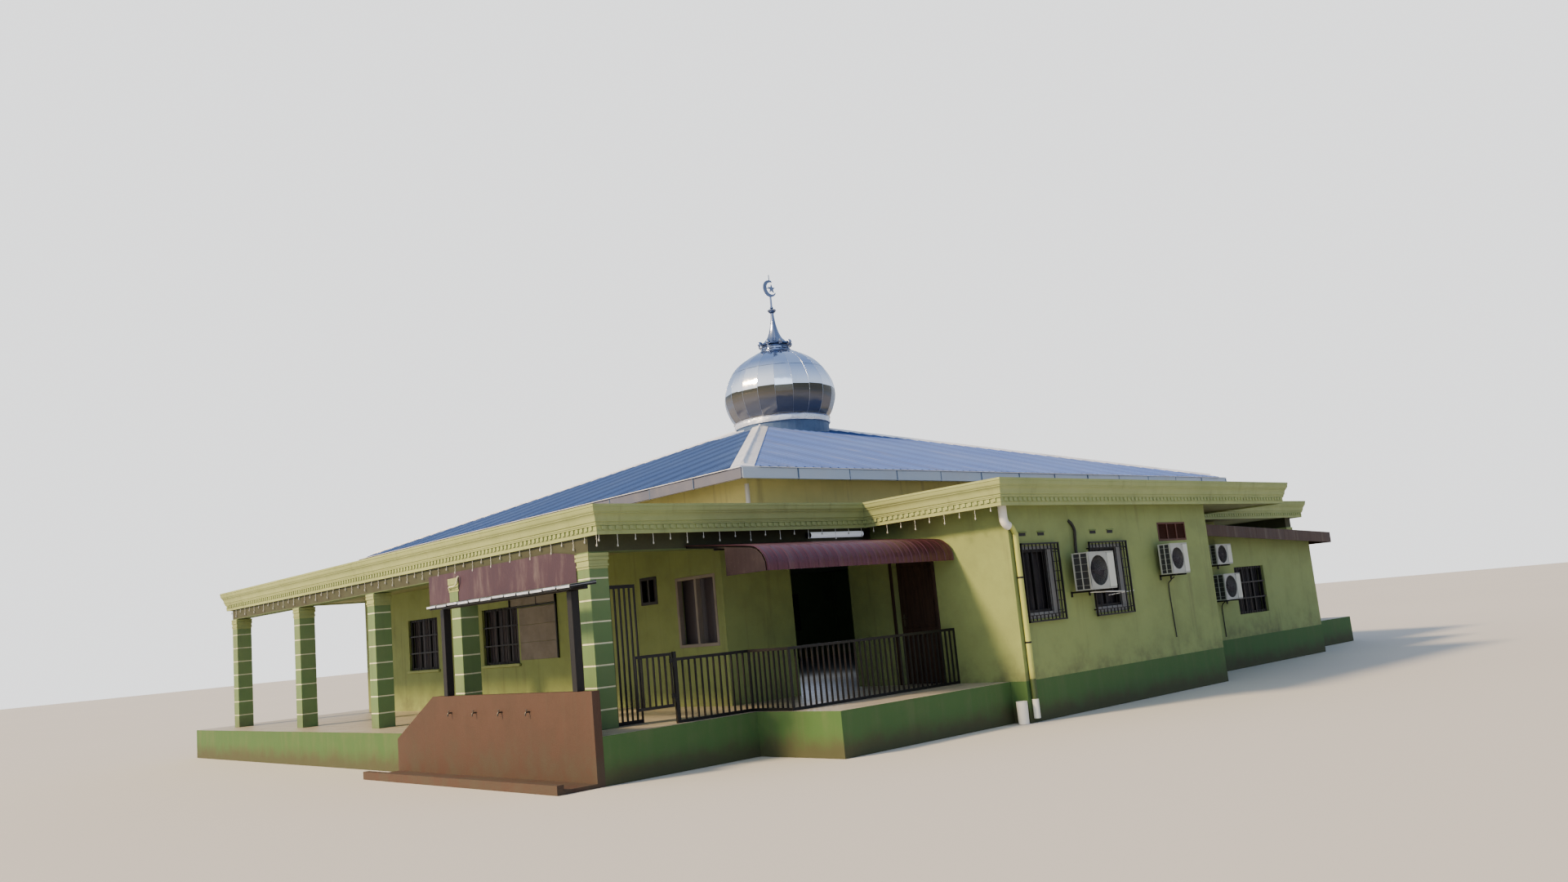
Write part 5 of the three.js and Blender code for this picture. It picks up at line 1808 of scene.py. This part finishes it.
@dataclass
class Wing:
    """The low wing's brown ribbed roof with deep fascia boards."""

    fall: float = 0.06
    drop: float = 0.22
    lap: float = 0.02
    pitch: float = 0.2
    ribs: Outline = ((0.0, 0.004), (0.014, 0.026), (0.04, 0.026), (0.054, 0.004))

    def _top(self, x: float) -> float:
        """Gives the roof's top over a place."""
        low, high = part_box("wing_roof")
        return high.z + (low.z + self.fall - high.z) * ((x - low.x) / (high.x - low.x))

    def build(self) -> None:
        """Builds the sheet's ribs and the boards round its edge."""
        low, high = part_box("wing_roof")
        boards, lines, y = Form(), [], low.y + 0.02
        while y < high.y - 0.08:
            lines += [[(x, y + d, self._top(x) + h) for x in (low.x, high.x)] for d, h in self.ribs]
            y += self.pitch
        Form().sheet(lines).piece("wing_sheet", Look.BROWN, Slot.BROWN)
        middle, end = (low.x + high.x) / 2, self._top(high.x)
        for span in ((low.x, middle - 0.003), (middle + 0.003, high.x + 0.02)):
            boards.beam([(x, low.y, self._top(x)) for x in span], Run.Y, (-0.022, -0.002), (-self.drop, self.lap))
        boards.box(high.x + 0.001, high.x + 0.021, low.y, high.y, end - self.drop, end + self.lap)
        boards.piece("wing_fascia", Look.BROWN, Slot.BROWN, bevel=0.003)
        dress(Look.BROWN, "wing_roof")
        dress(Look.LIME, "wing_wall_front", "wing_wall_right")


@dataclass
class Pipes:
    """Rainwater pipes, their joints and the short pipe ends by the corner."""

    foot: Pair = (-5.12, -10.609)
    bend: Path = (
        (-5.355, -10.59, 3.348), (-5.355, -10.59, 3.20), (-5.352, -10.592, 3.13), (-5.335, -10.598, 3.07),
        (-5.30, -10.606, 3.035), (-5.265, -10.611, 3.02),
    )

    def build(self) -> None:
        """Builds the thick elbow, the sleeves, the clips and the pipe ends, and dresses the pipes."""
        dress(Look.PIPE, "front_downpipe")
        dress(Look.WHITE, "upper_downpipe")
        white, clips = Form(), Form()
        white.tube(smooth_run(self.bend, 3), 0.068, 18)
        sleeve = [(0.0456, 0.0), (0.053, 0.003), (0.053, 0.29), (0.0456, 0.293)]
        white.lathe(sleeve, 20, (*self.foot, 0.062), closed=True)
        hollow = [(0.084, 0.0), (0.088, 0.34), (0.078, 0.34), (0.074, 0.0)]
        white.lathe(hollow, 24, (-5.325, -10.50, 0.001), closed=True)
        white.piece("pipe_joints", Look.WHITE, Slot.WHITE, smooth=40)
        for z in (2.2, 1.2):
            clips.hoop((0.0456, 0.05), (0.0, 0.025), 20, (*self.foot, z))
        clips.piece("pipe_clips", Look.DARK, Slot.DARK, smooth=40)


@dataclass
class Walls:
    """Plastered walls and the raised floor."""

    def build(self) -> None:
        """Dresses the walls and the floor."""
        names = [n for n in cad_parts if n.startswith(("hall_wall", "front_room_wall"))]
        dress(Look.LIME, *names, "hall_lintel", "front_room_door_lintel")
        # The upper walls carry painted sunlight: the lime paint made much lighter.
        dress(Look.UPPER_PAINTED_SUNLIGHT, "upper_walls")
        dress(Look.PLATFORM, "floor_platform")


# Camera, light and floor


@dataclass
class Studio:
    """Pale floor, soft light and the camera at the photograph's place."""

    eye: Point = (-20.33, -21.88, 1.90)
    lens: float = 27.19
    yaw: float = 0.74875
    pitch: float = 0.1494
    roll: float = 0.09355
    sun: Point = (-0.82, 0.28, 0.60)
    fill: Point = (-0.8, -1.0, 0.30)
    reach: float = 150.0
    low_sky: Colour = (0.90, 0.93, 0.96)
    high_sky: Colour = (0.40, 0.53, 0.78)
    glow: Colour = (1.9, 1.8, 1.6)
    front_sky: Colour = (0.24, 0.30, 0.40)
    mirrored: Colour = (1.9, 2.2, 2.8)
    backdrop: Colour = (2.32, 2.34, 2.36)

    def build_camera(self) -> None:
        """Places the camera."""
        ahead = Vector((math.sin(self.yaw) * math.cos(self.pitch), math.cos(self.yaw) * math.cos(self.pitch),
                        math.sin(self.pitch)))
        level = Vector((math.cos(self.yaw), -math.sin(self.yaw), 0))
        down = ahead.cross(level)
        right = math.cos(self.roll) * level + math.sin(self.roll) * down
        low = -math.sin(self.roll) * level + math.cos(self.roll) * down
        data = bpy.data.cameras.new("view")
        data.lens, data.sensor_width = self.lens, 36.0
        data.clip_start, data.clip_end = 0.1, 1000.0
        camera = stand("view", data)
        camera.matrix_world = Matrix.Translation(self.eye) @ Matrix((right, -low, -ahead)).transposed().to_4x4()
        bpy.context.scene.camera = camera

    def build_floor(self) -> None:
        """Lays the pale floor, which isn't part of the building."""
        g = Graph("studio_floor")
        g.finish(g.mix((0.62, 0.62, 0.60), (0.66, 0.66, 0.645), g.noise(0.05, detail=3)), 0.85)
        mesh = bpy.data.meshes.new("studio_floor")
        side = about(0, self.reach)
        mesh.from_pydata([(x, y, -0.003) for x, y in oblong(side, side)], [], [(0, 1, 2, 3)])
        mesh.materials.append(g.material)
        floor = stand("studio_floor", mesh)

    def build_sky(self) -> None:
        """Sets a pale sky that is darker in front, bluer in mirrors and plain where the camera sees it."""
        bpy.context.scene.world = world = bpy.data.worlds.new("studio_sky")
        g = Graph("studio_sky", world)
        way = g.node("ShaderNodeTexCoord", out="Generated")
        up = g.axis(way, "Z")
        colour = g.mix(self.low_sky, self.high_sky, up.rise(0.03, 0.75))
        toward = g.node("ShaderNodeVectorMath", {"operation": "DOT_PRODUCT"}, {0: way, 1: self.sun}, "Value")
        colour = g.mix(colour, self.glow, toward.rise(0.45, 1.0))
        near = (0 - g.axis(way, "Y")).rise(0.0, 0.8) * (1 - up.rise(0.15, 0.5))
        colour = g.mix(colour, self.front_sky, near * 0.85)
        bright, seen = (g.node("ShaderNodeLightPath", out=f"Is {ray} Ray") for ray in ("Glossy", "Camera"))
        colour = g.mix(g.mix(colour, self.mirrored, bright * 0.32), self.backdrop, seen)
        g.close(g.node("ShaderNodeBackground", None, {"Color": colour, "Strength": 0.54}), "ShaderNodeOutputWorld")

    def _lamp(self, name: str, kind: str, energy: float, colour: Colour) -> bpy.types.Object:
        """Adds a lamp.

        Args:
            name: Its name.
            kind: Its type.
            energy: Its strength.
            colour: Its colour.

        Returns:
            The lamp's object.
        """
        lamp = bpy.data.lights.new(name, kind)
        lamp.energy, lamp.color = energy, colour
        return stand(name, lamp)

    def build_lamps(self) -> None:
        """Sets one broad warm light from the left, a soft cool one from the front and a dim one inside."""
        for name, energy, colour, source, angle in (
            ("sun", 4.2, (1.0, 0.72, 0.42), self.sun, 9),
            ("fill", 0.45, (0.74, 0.84, 1.0), self.fill, 50),
        ):
            made = self._lamp(name, "SUN", energy, colour)
            made.data.angle = math.radians(angle)
            made.rotation_euler = (-Vector(source)).to_track_quat("-Z", "Y").to_euler()
        inside = self._lamp("inside", "POINT", 90, (0.72, 0.80, 1.0))
        inside.data.shadow_soft_size = 1.0
        inside.location = (-3.0, -3.0, 2.4)

    def build(self) -> None:
        """Sets up the view."""
        bpy.context.scene.view_settings.look = "AgX - Medium High Contrast"
        self.build_camera()
        self.build_floor()
        self.build_sky()
        self.build_lamps()


class Part(Protocol):
    """Anything that the scene builds in its turn."""

    def build(self) -> None:
        """Builds and dresses the part."""


def main() -> None:
    """Builds every part of the building in order."""
    logging.basicConfig(level=logging.INFO, format="%(name)s %(message)s")
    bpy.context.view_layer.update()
    parts: list[Part] = [
        Studio(), Walls(), HippedRoof(), Dome(), Cornice(), Columns(), HallWindows(), FrontWindows(), Doorway(),
        Coolers(), Porch(), WashPlace(), Wing(), Pipes(),
    ]
    for part in parts:
        LOG.info("building %s", type(part).__name__)
        part.build()


if __name__ == "__main__":
    main()
